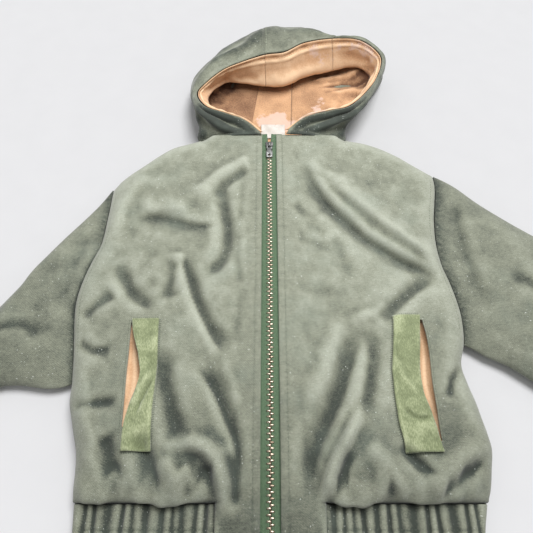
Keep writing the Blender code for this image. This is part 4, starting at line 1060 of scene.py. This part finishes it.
def lining_painted_light(at, across):
    """Painted light of the hood lining: a painted highlight on the turned band at the opening, painted shade
    below its fold, on its floor and deeper in on the wearer's right.
    """
    at, across = np.asarray(at)[:, None], np.asarray(across)[None, :]
    band = smooth(across, 0.70, 0.76)
    below = np.exp(-(((across - 0.60) / 0.10) ** 2)) * smooth(at, 2.5, 5.0) * smooth(15.5 - at, 0, 3.0)
    floor = smooth(0.62 - across, 0, 0.2)
    shut = smooth(at, 2.0, 3.5) * smooth(7.2 - at, 0, 1.6) * smooth(0.7 - across, 0, 0.1)
    return 0.34 * band - 0.80 * below - 0.16 * floor - 0.30 * shut


def mark(points, spots):
    """A spot's strength at its middle, falling to 0 twice its radius away; the strongest counts."""
    best = np.zeros(points.shape[:-1])
    for x, y, z, radius, *strength in spots:
        gap = np.linalg.norm(points - (x, y, z), axis=-1) / radius
        best = np.maximum(best, (strength[0] if strength else 1.0) * np.clip(1 - gap * 0.5, 0, 1))
    return best


def store(mesh, name, values):
    kept = mesh.attributes.new(name, "FLOAT", "POINT")
    kept.data.foreach_set("value", np.asarray(values, np.float32).ravel())


def cloth(node, points, look, wall=WALL, used=None, flip=False, ring=False, wear_and_painted_shade=1.0, fade=0.0):
    """A fine grid as an open surface with its marks, thickened to both sides; it stands for its CAD node."""
    name = f"{node}_look"
    rows, columns = points.shape[:2]
    index = np.arange(rows * columns).reshape(rows, columns)
    a, b = index[:-1, :-1], index[:-1, 1:]
    c, d = index[1:, 1:], index[1:, :-1]
    quads = np.stack([a, b, c, d], axis=-1)
    keep = np.ones((rows - 1, columns - 1), bool) if used is None else used
    faces = quads[keep]
    if ring:
        wrap = np.stack([index[:-1, -1], index[:-1, 0], index[1:, 0], index[1:, -1]], axis=-1)
        faces = np.concatenate([faces, wrap])
    if flip:
        faces = faces[:, ::-1]
    lined = np.zeros(rows * columns, bool)
    lined[faces.ravel()] = True
    new = np.cumsum(lined) - 1
    mesh = bpy.data.meshes.new(name)
    mesh.from_pydata(placed(points)[lined].tolist(), [], new[faces].tolist())
    # the stored level is wear on ridges, painted shade in hollows, and the painted shade and light that fade
    # adds
    store(mesh, "wear_and_painted_shade", (wear_and_painted_shade_of(points, ring, wear_and_painted_shade) + fade).ravel()[lined])
    if look == "lining":
        store(mesh, "stain", mark(points, LINING_STAINS).ravel()[lined])
        store(mesh, "hole", mark(points, LINING_HOLES).ravel()[lined])
    obj = add_object(name, mesh)
    mesh.materials.append(LOOKS[look])
    mesh.shade_smooth()
    thick = obj.modifiers.new("wall", "SOLIDIFY")
    thick.thickness = wall * MM
    thick.offset = 0
    thick.use_even_offset = False
    settle(obj, (node,))
    return obj


def settle(obj, nodes=(), body="jacket"):
    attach(obj, body)
    if nodes:
        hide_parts(*nodes)


def solid(name, verts, faces, look, nodes=(), bevel=0.0):
    """A piece from its corners and faces, in drawing millimetres."""
    mesh = bpy.data.meshes.new(name)
    mesh.from_pydata(placed(verts).tolist(), [], [tuple(int(i) for i in f) for f in faces])
    mesh.materials.append(LOOKS[look])
    mesh.shade_smooth()
    obj = add_object(name, mesh)
    if bevel:
        round_edges(obj, bevel)
    settle(obj, nodes)
    return obj


def round_edges(obj, width):
    soft = obj.modifiers.new("edges", "BEVEL")
    soft.width = width * MM
    soft.segments = 2


def tube_faces(base, rings, sides):
    """Faces of a tube with closed ends, whose rings of corners start at base."""
    faces = []
    for k in range(rings - 1):
        low = base + k * sides
        for s in range(sides):
            e = (s + 1) % sides
            faces.append((low + s, low + e, low + sides + e, low + sides + s))
    last = base + (rings - 1) * sides
    faces.append(tuple(range(base, base + sides))[::-1])
    faces.append(tuple(range(last, last + sides)))
    return faces


def along(line, pitch, start=0.5):
    """Points and directions at even steps along a polyline."""
    line = np.asarray(line, float)
    steps = np.linalg.norm(np.diff(line, axis=0), axis=1)
    length = np.concatenate([[0], np.cumsum(steps)])
    at = np.arange(start * pitch, length[-1] - 0.4 * pitch, pitch)
    points = np.stack([np.interp(at, length, line[:, k]) for k in range(3)], axis=-1)
    ahead = np.stack([np.interp(at + 0.3, length, line[:, k]) for k in range(3)], axis=-1)
    behind = np.stack([np.interp(at - 0.3, length, line[:, k]) for k in range(3)], axis=-1)
    way = ahead - behind
    return points, way / np.maximum(np.linalg.norm(way, axis=1, keepdims=True), 1e-9)


def thread_run(line, pitch=STITCH["pitch"], length=STITCH["length"], radius=STITCH["radius"]):
    """Threads along a line, as stitches() takes them."""
    points, ways = along(line, pitch)
    return points, ways, length, radius


def overlock_run(line, pitch, lean, length, radius):
    """Threads across a line, each leaning along it."""
    points, ways = along(line, pitch)
    slant = np.cross(ways, (0, 0, 1.0)) + lean * ways
    slant /= np.linalg.norm(slant, axis=1)[:, None]
    return points, slant, length, radius


def stitches(name, runs, look):
    """One piece from many short threads. runs: points, directions, length, radius of each run."""
    verts, faces = [], []
    sides = 6
    turn = np.linspace(0, 2 * math.pi, sides, endpoint=False)
    sections = ((-0.5, 0.35), (-0.36, 0.9), (0.36, 0.9), (0.5, 0.35))     # share of the length, of the radius
    for points, ways, length, radius in runs:
        for k, (p, way) in enumerate(zip(points, ways)):
            across = np.cross(way, (0, 0, 1.0))
            if np.linalg.norm(across) < 1e-3:
                across = np.array([1.0, 0, 0])
            across /= np.linalg.norm(across)
            up = np.cross(across, way)
            own = 1 + 0.12 * math.sin(2.3 * k)
            faces += tube_faces(len(verts), len(sections), sides)
            for share, wide in sections:
                sink = radius * 0.9 * (abs(share) > 0.4)
                for t in turn:
                    sideways = across * math.cos(t) * radius * wide
                    upwards = up * (math.sin(t) * radius * wide * 0.8 - sink)
                    verts.append(p + way * share * length * own + (sideways + upwards))
    return solid(name, verts, faces, look)


def on_front(side, x, y, lift):
    """Points on the front's face at these distances from the zip line."""
    return front_points(side, np.asarray(x, float), np.asarray(y, float), WALL / 2 + lift)


# ---------------------------------------------------------------- body
def pocket_rows(side, count):
    return spline(POCKETS[side], np.linspace(0, len(POCKETS[side]) - 1, count))


def mouth_shape(side):
    """Prism through the panel between the welt's free edge and the far edge of the pocket mouth."""
    rows = [row for row in pocket_rows(side, POCKET_GRID["mouth"]) if row[3] - row[2] > 1.5]
    near = [(row[2] - 2.5, row[0]) for row in rows]
    far = [(row[3], row[0]) for row in rows[::-1]]
    shape = bmesh.new()
    ring = [shape.verts.new(placed((SIGN[side] * x, y, 8.0))[0]) for x, y in near + far]
    raised = bmesh.ops.extrude_face_region(shape, geom=[shape.faces.new(ring)])
    for item in raised["geom"]:
        if isinstance(item, bmesh.types.BMVert):
            item.co.z += 50 * MM
    bmesh.ops.recalc_face_normals(shape, faces=shape.faces)
    return shape


def freeze(obj):
    """The object's mesh with its modifiers applied."""
    bpy.context.view_layer.update()
    graph = bpy.context.evaluated_depsgraph_get()
    made = bpy.data.meshes.new_from_object(obj.evaluated_get(graph))
    obj.modifiers.clear()
    obj.data = made


def cut(obj, shape):
    """The object without the space that the shape takes up."""
    mesh = bpy.data.meshes.new("tool")
    shape.to_mesh(mesh)
    shape.free()
    tool = add_object("tool", mesh)
    hole = obj.modifiers.new("hole", "BOOLEAN")
    hole.operation = "DIFFERENCE"
    hole.solver = "EXACT"
    hole.object = tool
    freeze(obj)
    bpy.data.objects.remove(tool)


def make_body():
    for side, sign in SIGN.items():
        points, used = fine_front(side)
        panel = cloth(f"front_{side}", points, "shell", used=used, flip=sign < 0, fade=body_painted_shade(points))
        cut(panel, mouth_shape(side))
        rings = fine_sleeve(side)
        cloth(f"sleeve_{side}", rings, "shell", ring=True, flip=sign > 0, fade=sleeve_painted_shade(rings))
    # the back gets a flat painted shade
    cloth("back", back_sheet(), "shell", wear_and_painted_shade=0.6, fade=-0.15)


# ---------------------------------------------------------------- pockets
def make_pockets():
    for side, sign in SIGN.items():
        rows = pocket_rows(side, POCKET_GRID["rows"])
        sewn, free, far = rows[:, 1:2], rows[:, 2:3], rows[:, 3:4]
        across = np.linspace(0, 1, POCKET_GRID["welt"])
        x = sewn + (free - sewn) * across
        y = np.broadcast_to(rows[:, 0:1], x.shape)
        lift = POCKET_LIFT + 1.2 * across**2 * smooth(far - free, 0, 8)
        sag = 0.5 * ripple(sign * x * 1.4, y * 1.4)
        edge = smooth(across, 0, 0.15) * smooth(1 - across, 0, 0.05)
        dent = line_folds(WELT_CREASES[side], sign * x, y, 1.2)
        ends = smooth(y - POCKETS[side][-1][0], 0, 5) * smooth(POCKETS[side][0][0] - y, 0, 5)
        z = front_height(side, x, y) + lift + (sag + dent) * edge * ends - 0.7 * (1 - smooth(across, 0, 0.08))
        cloth(f"pocket_welt_{side}", np.stack([sign * x, y, z], axis=-1), "welt", flip=sign > 0, wear_and_painted_shade=1.2)
        reach = np.linspace(0, 1, POCKET_GRID["bag"])
        x = sewn + 3 + (far + 9 - sewn - 3) * reach
        y = np.broadcast_to(rows[:, 0:1], x.shape)
        deep = np.exp(-(((x - (free + far) / 2) / 9) ** 2)) * smooth(far - free, 0, 7)
        pleat = 0.80 * deep * np.sin(x * 0.8 + 1.6 * np.sin(y * 0.09)) * smooth(deep, 0.2, 0.7)
        z = front_height(side, x, y) - BAG_DROP - BAG_DEPTH * deep + pleat
        bag = np.stack([sign * x, y, z], axis=-1)
        # the pocket bags get a flat level of painted light
        cloth(f"pocket_bag_{side}", bag, "lining", wall=THIN, flip=sign > 0, wear_and_painted_shade=0.9, fade=0.40)


def pocket_threads():
    """Overlocked edge of the welts and the stitched edge of the mouths."""
    runs = []
    for side in SIGN:
        rows = pocket_rows(side, POCKET_GRID["edge"])
        sewn = on_front(side, rows[:, 1] - 0.9, rows[:, 0], 0.15)
        runs.append(overlock_run(sewn, 1.75, 0.35, 2.1, 0.27))
        far = on_front(side, rows[:, 3] + 1.6, rows[:, 0], 0.1)
        runs.append(thread_run(far, 2.3, 1.5, 0.22))
        for row, beyond in ((rows[0], 1.0), (rows[-1], -1.0)):
            x = np.linspace(row[1] + 0.5, row[2] + 0.3, 20)
            end = on_front(side, x, np.full_like(x, row[0] + beyond), 0.15)
            runs.append(overlock_run(end, 1.75, 0.25, 2.0, 0.27))
    return stitches("pocket_overlock", runs, "thread")


# ---------------------------------------------------------------- hem
def gather_depth(x):
    total = np.zeros_like(x)
    for place, half, depth in GATHERS:
        total += depth * np.exp(-(((x - place) / half) ** 2))
    return total


def casing_groove(y):
    return sum(np.exp(-(((y - line) / 1.1) ** 2)) for line in CASING_LINES)


def band_height(side, x, y):
    """Height of the middle of the front's gathered hem; x is the distance from the zip line."""
    lean = 1.6 * np.sin(x * 0.21) * (y - HEM_Y) / (WAIST_Y - HEM_Y)
    z = BAND_Z + 1.4 - 1.35 * gather_depth(SIGN[side] * x + lean)
    z = z + 0.35 * ripple(3.2 * x, y) - 0.35 * casing_groove(y)
    edge = SEAM_Z + SEAM_GAP
    return edge + (z - edge) * roll(half_width(side, y) - x, EDGE_R / 2)


def make_hem():
    inner = STRIP_EDGE + GAP
    for side, sign in SIGN.items():
        y = np.linspace(HEM_Y, WAIST_Y - 2 * GAP - WALL / 2, HEM_GRID["rows"])[:, None]
        width = half_width(side, y)
        flat = np.linspace(0, 1, HEM_GRID["columns"])[None, :]
        turn = width - edge_steps(EDGE_R / 2, HEM_GRID["side"])[::-1][1:]
        x = np.concatenate([inner + (width - EDGE_R / 2 - inner) * flat, turn], axis=1)
        y = np.broadcast_to(y, x.shape)
        band = np.stack([sign * x, y, band_height(side, x, y)], axis=-1)
        # the hem bands get a flat painted shade, darker than the body
        cloth(f"hem_band_{side}", band, "shell", flip=sign < 0, wear_and_painted_shade=1.4, fade=-0.50)
    y = np.linspace(HEM_Y, WAIST_Y - GAP, BACK_HEM_GRID["rows"])[:, None]
    right, left = half_width("right", y), half_width("left", y)
    steps = edge_steps(BACK_R, BACK_HEM_GRID["side"])
    middle = np.linspace(0, 1, BACK_HEM_GRID["columns"])[None, :]
    x = np.concatenate([
        -right + steps[None, :-1],
        -right + BACK_R + (left + right - 2 * BACK_R) * middle,
        left - steps[None, ::-1][:, 1:],
    ], axis=1)
    distance = np.minimum(x + right, left - x)
    wave = 0.5 - 0.5 * np.cos(2 * math.pi * x / BACK_GATHER["pitch"])
    z = FLOOR + BACK_GATHER["rise"] * wave * smooth(distance, 2, BACK_R)
    z = np.maximum(z, FLOOR + (SEAM_Z - SEAM_GAP - FLOOR) * (1 - roll(distance, BACK_R)))
    band = np.stack([x, np.broadcast_to(y, x.shape), z], axis=-1)
    # the back hem gets a flat painted shade
    cloth("hem_band_back", band, "shell", wear_and_painted_shade=0.8, fade=-0.3)


# ---------------------------------------------------------------- hood
def make_hood():
    low, high = CENTRE_ROWS
    across = np.linspace(0, 1, HOOD_GRID["across"])
    for side, start, stop in (("right", 0, low - SEAM_SHARE), ("left", high + SEAM_SHARE, len(HOOD) - 1)):
        at = np.linspace(start, stop, HOOD_GRID["side"])
        cloth(f"hood_side_{side}", outer_points(at, across), "shell", wear_and_painted_shade=1.3, fade=hood_painted_shade(at, across))
        inside = lining_points(at, across)
        cloth(f"hood_lining_{side}", inside, "lining", wall=THIN, flip=True, fade=lining_painted_light(at, across))
    at = np.linspace(low + SEAM_SHARE, high - SEAM_SHARE, HOOD_GRID["centre"])
    # painted shade on the lining's floor in the centre panel
    lining_floor_painted_shade = np.full((len(at), HOOD_GRID["floor"]), -0.10)
    inner_lining_painted_light = np.concatenate([lining_floor_painted_shade, lining_painted_light(at, across)], axis=1)
    # the hood centre's outside gets a flat painted shade, its lining the painted shade and light of the
    # lining
    for name, maker, level, look, wall, turned, edge, fade in (
        ("hood_centre", outer_points, FLOOR, "shell", WALL, False, 151.0, -0.05),
        ("hood_lining_centre", lining_points, LINING_FLOOR, "lining", THIN, True, 155.0, inner_lining_painted_light),
    ):
        upper = maker(at, across)
        floor = centre_floor(upper[:, 0], HOOD_GRID["floor"], level, edge)
        pull_in = np.linspace(0.25, -0.25, len(at))[:, None]
        floor[:, :, 0] += pull_in
        upper[:, 0, 0] += pull_in[:, 0]
        cloth(name, np.concatenate([floor, upper], axis=1), look, wall=wall, flip=turned, fade=fade)


def seam_fade(at):
    """0 at the hood's panel seams and its ends at the zip, 1 away from them."""
    ends = (0, CENTRE_ROWS[0], CENTRE_ROWS[1], len(HOOD) - 1)
    fade = np.ones_like(at)
    for row in ends:
        fade = fade * smooth(np.abs(at - row), 0, 0.25)
    return fade[:, None]


def outer_points(at, across):
    points = hood_outer(at, across)
    normal = surface_normals(points)
    free = smooth(across, 0.34, 0.5)[None, :] * smooth(1 - across, 0.015, 0.08)[None, :]
    height = band_folds(HOOD_CREASES, at, across) + 0.9 * ripple(points[..., 0] * 1.3, points[..., 1] * 1.3)
    points = points + normal * (height * free * seam_fade(at))[..., None]
    seam = sum(np.exp(-((np.asarray(at) - row) / 0.035) ** 2) for row in CENTRE_ROWS)[:, None]
    points[..., 2] -= 0.5 * seam * smooth(across, 0.3, 0.45)
    neck = np.exp(-((np.minimum(at, len(HOOD) - 1 - np.asarray(at)) / 0.10) ** 2))[:, None]
    neck = neck * smooth(across, 0.3, 0.5)
    points[..., 1] += (NECK_Y - 0.6 - points[..., 1]) * neck
    return points


def lining_points(at, across):
    points = hood_lining(at, across)
    normal = surface_normals(points)
    free = smooth(across, 0.12, 0.22)[None, :] * smooth(1 - across, 0.02, 0.09)[None, :]
    height = band_folds(LINING_CREASES, at, across) + 0.5 * ripple(points[..., 0] * 1.6, points[..., 1] * 1.6)
    casing = np.exp(-(((across - 0.925) / 0.012) ** 2))[None, :]
    rolled = np.exp(-(((across - 0.966) / 0.016) ** 2))[None, :]
    uneven = 1 + 0.35 * np.sin(np.asarray(at) * 9.0 + np.sin(np.asarray(at) * 3.1))[:, None]
    height = 1.5 * height * free * seam_fade(at) + (0.9 * casing - 1.5 * rolled) * uneven
    return points - normal * height[..., None]


def rim_threads():
    """Casing stitches round the hood's opening, on the lining."""
    across = np.linspace(0, 1, HOOD_GRID["across"])
    at = np.linspace(0.15, len(HOOD) - 1.15, 500)
    line = lining_points(at, across)[:, 90] + np.array([0, 0, 0.55])
    runs = [thread_run(line, 3.1, 2.1, 0.22)]
    for row in (CENTRE_ROWS[0] + 0.06, CENTRE_ROWS[1] + 0.06):
        seam = lining_points(np.array([row - 0.01, row, row + 0.01]), across)[1, 60:88]
        runs.append(thread_run(seam + np.array([0, 0, 0.5]), 2.6, 1.7, 0.2))
    return stitches("hood_casing_stitches", runs, "thread_brown")


def hood_threads():
    """Topstitching beside the outer hood's seams."""
    runs = []
    across = np.linspace(0, 1, HOOD_GRID["across"])
    for row in (CENTRE_ROWS[0] + 0.12, CENTRE_ROWS[1] - 0.12):
        surface = outer_points(np.array([row - 0.02, row, row + 0.02]), across)
        normal = surface_normals(surface)[1]
        runs.append(thread_run((surface[1] + normal * (WALL / 2 + 0.1))[44:92]))
    return stitches("hood_topstitching", runs, "thread_pale")


def make_label():
    x = np.linspace(*LABEL["x"], LABEL_GRID["columns"])
    y = np.linspace(*LABEL["y"], LABEL_GRID["rows"])
    x, y = np.meshgrid(x, y)
    z = LINING_FLOOR + THIN + GAP + 0.5 + 0.45 * ripple(x * 2, y * 2)
    cloth("neck_label", np.stack([x, y, z], axis=-1), "label", wall=THIN * 0.7)


# ---------------------------------------------------------------- zip
def tape_level(y):
    """Middle of the zip tape, just under the panels' edges."""
    return lookup(ZIP_HEIGHT, y) - (WALL + THIN) / 2 - 2 * GAP


def tooth(base, sign, y, z, lean):
    """Corners and faces of one zip tooth: a bar with a rounded head over the middle."""
    inner, outer = -TEETH["past"], TEETH["length"] - TEETH["past"]
    half, high = TEETH["thick"] / 2, TEETH["high"] / 2
    sections = (
        (inner, 0.55, 0.62), (inner + 0.45, 0.96, 0.95), (inner + 1.5, 0.92, 1.0),
        (outer - 0.5, 0.80, 1.0), (outer, 0.55, 0.7),
    )
    ring = ((-0.6, -1), (0.6, -1), (1, -0.5), (1, 0.5), (0.6, 1), (-0.6, 1), (-1, 0.5), (-1, -0.5))
    verts = []
    for x, wide, tall in sections:
        for a, b in ring:
            verts.append((sign * x, y + a * half * wide + lean * x, z + b * high * tall))
    faces = tube_faces(base, len(sections), len(ring))
    return verts, faces if sign < 0 else [f[::-1] for f in faces]


def make_teeth():
    low, high = HEM_Y + 3, SLIDER["y"] - SLIDER["length"] / 2 + 1.0
    for side, sign in SIGN.items():
        verts, faces = [], []
        start = low + (TEETH["pitch"] / 2 if sign > 0 else 0)
        for k, y in enumerate(np.arange(start, high, TEETH["pitch"])):
            z = float(tape_level(np.array(y))) + 0.15
            more, sides = tooth(len(verts), sign, y, z, 0.02 * math.sin(1.7 * k))
            verts += more
            faces += sides
        solid(f"zip_teeth_{side}", verts, faces, "teeth")


def make_tapes():
    y = np.linspace(HEM_Y, ZIP["top"], TAPE_GRID["rows"])[:, None]
    for side, sign in SIGN.items():
        near = ZIP["tape_in"] + 1.6 * smooth(y, SLIDER["y"] - 2, ZIP["top"])
        x = near + (ZIP["tape_out"] - near) * np.linspace(0, 1, TAPE_GRID["columns"])[None, :]
        cord = 0.55 * np.exp(-(((x - near - 1.0) / 0.8) ** 2))
        z = tape_level(np.broadcast_to(y, x.shape)) + cord
        tape = np.stack([sign * x, np.broadcast_to(y, x.shape), z], axis=-1)
        cloth(f"zip_tape_{side}", tape, "tape", wall=THIN * 0.8, flip=sign < 0)


def zip_threads():
    """Stitches along the tape's visible edges and the topstitching beside the zip."""
    dark, pale = [], []
    y = np.arange(HEM_Y + 2, SLIDER["y"] - 4, 1.5)
    rows = np.arange(HEM_Y + 2, NECK_Y - 4, 1.5)
    for side, sign in SIGN.items():
        line = np.stack([sign * np.full_like(y, ZIP_EDGE - 0.9), y, tape_level(y) + THIN / 2 + 0.1], axis=-1)
        points, ways = along(line, 2.4)
        slant = ways + 0.6 * np.cross(ways, (0, 0, sign * 1.0))
        slant /= np.linalg.norm(slant, axis=1)[:, None]
        dark.append((points, slant, 1.9, 0.2))
        pale.append(thread_run(on_front(side, np.full_like(rows, STITCH_LINE[side]), rows, 0.0)))
    stitches("zip_tape_stitches", dark, "thread_tape")
    stitches("zip_topstitching", pale, "thread")


def hem_threads():
    """Stitches along the two lines of the hem's casing."""
    runs = []
    for side, sign in SIGN.items():
        for line_y in CASING_LINES:
            last = float(half_width(side, line_y)) - EDGE_R / 2 - 1
            x = np.linspace(STRIP_EDGE + 2, last, 400)
            y = np.full_like(x, line_y)
            line = np.stack([sign * x, y, band_height(side, x, y) + WALL / 2 + 0.05], axis=-1)
            runs.append(thread_run(line, 2.6, 1.8, 0.24))
    return stitches("hem_casing_stitches", runs, "thread")


def plate(outline, low, high):
    """Corners and faces of a flat piece, from its closed outline."""
    count = len(outline)
    verts = [(x, y, low) for x, y in outline] + [(x, y, high) for x, y in outline]
    faces = [tuple(range(count))[::-1], tuple(range(count, 2 * count))]
    faces += [(k, (k + 1) % count, count + (k + 1) % count, count + k) for k in range(count)]
    return verts, faces


def slab(name, outline, low, high, nodes=(), bevel=0.0):
    """A flat metal piece, in drawing millimetres."""
    return solid(name, *plate(outline, low, high), "metal", nodes=nodes, bevel=bevel)


def make_slider():
    """Slider: two plates joined by a post, the bridge over them, and the pull tab hung under the bridge."""
    middle = SLIDER["y"]
    level = float(tape_level(np.array(middle)))
    room, thick = SLIDER["room"], SLIDER["plate"]
    half, wide = SLIDER["length"] / 2, SLIDER["width"] / 2
    deck = level + room + thick
    shape = (
        (-0.62, -1), (0.62, -1), (0.80, -0.86), (0.80, -0.30), (1.0, 0.15), (1.0, 0.72), (0.86, 0.92),
        (0.55, 1.0),
        (0.25, 0.88), (0, 0.82), (-0.25, 0.88), (-0.55, 1.0), (-0.86, 0.92), (-1.0, 0.72), (-1.0, 0.15),
        (-0.80, -0.30), (-0.80, -0.86),
    )
    square = ((1, -1), (1, 1), (-1, 1), (-1, -1))
    outline = [(x * wide, middle + y * half) for x, y in shape]
    slab("zip_slider_top", outline, level + room, deck, nodes=("zip_slider",), bevel=0.3)
    slab("zip_slider_under", outline, level - room - thick, level - room, bevel=0.3)
    post = [(x * 0.5, middle + half - 2.0 + y * 1.5) for x, y in square]
    slab("zip_slider_post", post, level - room - 0.3, level + room + 0.3)
    for side, sign in SIGN.items():
        out = sign * (wide * 0.80 - 0.35)
        flange = [(x * 0.35 + out, middle - 1.2 + y * (half - 1.4)) for x, y in square]
        slab(f"zip_slider_flange_{side}", flange, level + room - 0.7, level + room + 0.1)
    low, high, rise = BRIDGE["low"], BRIDGE["high"], BRIDGE["rise"]
    path = (
        (0, low + 0.5, deck - 0.3), (0, low + 0.5, deck + 1.2), (0, low + 1.1, deck + 2.5),
        (0, low + 2.6, deck + rise),
        (0, high - 2.6, deck + rise), (0, high - 1.1, deck + 2.5), (0, high - 0.5, deck + 1.2),
        (0, high - 0.5, deck - 0.3),
    )
    rows = spline(path, np.linspace(0, len(path) - 1, 40))
    strap("zip_slider_bridge", rows, BRIDGE["width"] / 2, BRIDGE["half_thick"])
    make_pull(deck + BRIDGE["room"] / 2)


def strap(name, rows, half_wide, half_thick):
    """A flat strip along a line in the plane x = 0."""
    ring = ((-1, -0.6), (-0.8, -1), (0.8, -1), (1, -0.6), (1, 0.6), (0.8, 1), (-0.8, 1), (-1, 0.6))
    way = np.gradient(rows, axis=0)
    way /= np.linalg.norm(way, axis=1)[:, None]
    verts = []
    for p, w in zip(rows, way):
        out = np.array([0, -w[2], w[1]])
        for a, b in ring:
            verts.append(p + np.array([a * half_wide, 0, 0]) + out * b * half_thick)
    return solid(name, verts, tube_faces(0, len(rows), len(ring)), "metal")


def make_pull(level):
    """The pull tab: a plate with an eye for the bridge and a slot near its end, on its hinge axis."""
    half, length, thick = PULL["width"] / 2, PULL["length"], PULL["thick"] / 2
    shape = (
        (-0.78, 0.5), (0.78, 0.5), (0.92, 0.2), (0.92, -3.6), (0.66, -5.0), (0.66, -6.2), (0.95, -7.6),
        (1.0, -9.0), (1.0, -14.3), (0.82, -15.2), (0.5, -length), (-0.5, -length), (-0.82, -15.2),
        (-1.0, -14.3),
        (-1.0, -9.0), (-0.95, -7.6), (-0.66, -6.2), (-0.66, -5.0), (-0.92, -3.6), (-0.92, 0.2),
    )
    verts, faces = plate([(x * half, y) for x, y in shape], -thick, thick)
    mesh = bpy.data.meshes.new("zip_pull_look")
    mesh.from_pydata((np.array(verts) * MM).tolist(), [], faces)
    mesh.materials.append(LOOKS["metal"])
    pull = add_object("zip_pull_look", mesh)
    for half_hole, low, high in ((1.45, -PULL["hole"], -0.5), (1.15, -length + 2.0, -length + 4.4)):
        hole = bmesh.new()
        bmesh.ops.create_cube(hole, size=1)
        for v in hole.verts:
            y = (v.co.y * (high - low) + (high + low) / 2) * MM
            v.co = (v.co.x * 2 * half_hole * MM, y, v.co.z * 4 * MM)
        cut(pull, hole)
    round_edges(pull, 0.22)
    freeze(pull)
    turned = np.empty(len(pull.data.vertices) * 3)
    pull.data.vertices.foreach_get("co", turned)
    turned = turned.reshape(-1, 3)
    tilt = math.radians(PULL["tilt"])
    y, z = turned[:, 1].copy(), turned[:, 2].copy()
    turned[:, 1] = y * math.cos(tilt) - z * math.sin(tilt) + (PULL["axis_y"] - ORIGIN[1]) * MM
    turned[:, 2] = y * math.sin(tilt) + z * math.cos(tilt) + level * MM
    turned[:, 0] += -ORIGIN[0] * MM
    pull.data.vertices.foreach_set("co", turned.ravel())
    pull.data.shade_smooth()
    settle(pull, ("zip_pull",), "pull_tab")


# ---------------------------------------------------------------- seams
def armhole_threads():
    """Topstitching on the front beside each armhole."""
    runs = []
    for side in SIGN:
        y = np.linspace(UNDERARM[side] + 6, shoulder_tip(side)[1] - 8, 200)
        runs.append(thread_run(on_front(side, half_width(side, y) - 5.0, y, 0.0)))
    return stitches("armhole_topstitching", runs, "thread")


# ---------------------------------------------------------------- stage, light, camera
WORLD_LIGHT = 0.36
SUN = {"power": 2.22, "soft": 30.0, "x": 0.28, "y": 0.30, "z": 0.92}     # x, y, z: towards the light
NEAR_LIGHT = {"power": 2.2, "size": 0.30, "x": 0.02, "y": 0.09, "z": 0.52}
CAMERA = {"x": -0.01249, "y": -0.28319, "z": 0.41881, "tilt": 30.0, "lens": 33.77}
STAGE = {"half_size": 6.0, "drop": 0.0002}


def make_stage():
    mesh = bpy.data.meshes.new("floor")
    size = STAGE["half_size"]
    corners = [(-size, -size, 0), (size, -size, 0), (size, size, 0), (-size, size, 0)]
    mesh.from_pydata(corners, [], [(0, 1, 2, 3)])
    floor = add_object("floor", mesh)
    floor.location.z = -STAGE["drop"]
    n = Nodes("pale_floor")
    grain = n.noise(30, 2.0, 0.5)
    colour = n.mix(n.span(grain, 0.3, 0.7), (0.820, 0.820, 0.835), (0.835, 0.835, 0.850))
    mesh.materials.append(n.finish(colour, 0.9, n.bump(grain, 0.02, 0.2)))
    return floor


def make_light():
    """Even white surroundings, a broad overhead light, and a closer one for the garment alone."""
    world = bpy.data.worlds.new("soft_white")
    world.use_nodes = True
    sky = world.node_tree.nodes["Background"]
    sky.inputs["Color"].default_value = (1.0, 1.0, 1.0, 1)
    sky.inputs["Strength"].default_value = WORLD_LIGHT
    bpy.context.scene.world = world
    sun = bpy.data.lights.new("sun", "SUN")
    sun.energy = SUN["power"]
    sun.angle = math.radians(SUN["soft"])
    towards = mathutils.Vector((SUN["x"], SUN["y"], SUN["z"]))
    add_object("sun", sun).rotation_euler = towards.to_track_quat("Z", "Y").to_euler()
    near = bpy.data.lights.new("near_light", "AREA")
    near.energy = NEAR_LIGHT["power"]
    near.shape = "DISK"
    near.size = NEAR_LIGHT["size"]
    lamp = add_object("near_light", near)
    lamp.location = (NEAR_LIGHT["x"], NEAR_LIGHT["y"], NEAR_LIGHT["z"])
    lit = bpy.data.collections.new("garment")
    for piece in bpy.context.scene.objects:
        if piece.type == "MESH" and piece.name != "floor" and not piece.hide_render:
            lit.objects.link(piece)
    lamp.light_linking.receiver_collection = lit


def make_camera():
    bpy.context.scene.view_settings.view_transform = "Standard"
    bpy.context.scene.view_settings.look = "None"
    camera = bpy.data.cameras.new("camera")
    camera.lens = CAMERA["lens"]
    camera.sensor_width = 36.0
    camera.clip_start = 0.01
    obj = add_object("camera", camera)
    obj.location = (CAMERA["x"], CAMERA["y"], CAMERA["z"])
    obj.rotation_euler = (math.radians(CAMERA["tilt"]), 0, 0)
    bpy.context.scene.camera = obj


def main():
    floor = make_stage()
    for maker in (
        make_body, make_pockets, make_hem, make_hood, make_label, make_tapes, make_teeth, make_slider,
        zip_threads, pocket_threads, hem_threads, rim_threads, hood_threads, armhole_threads,
    ):
        maker()
    make_light()
    make_camera()


main()
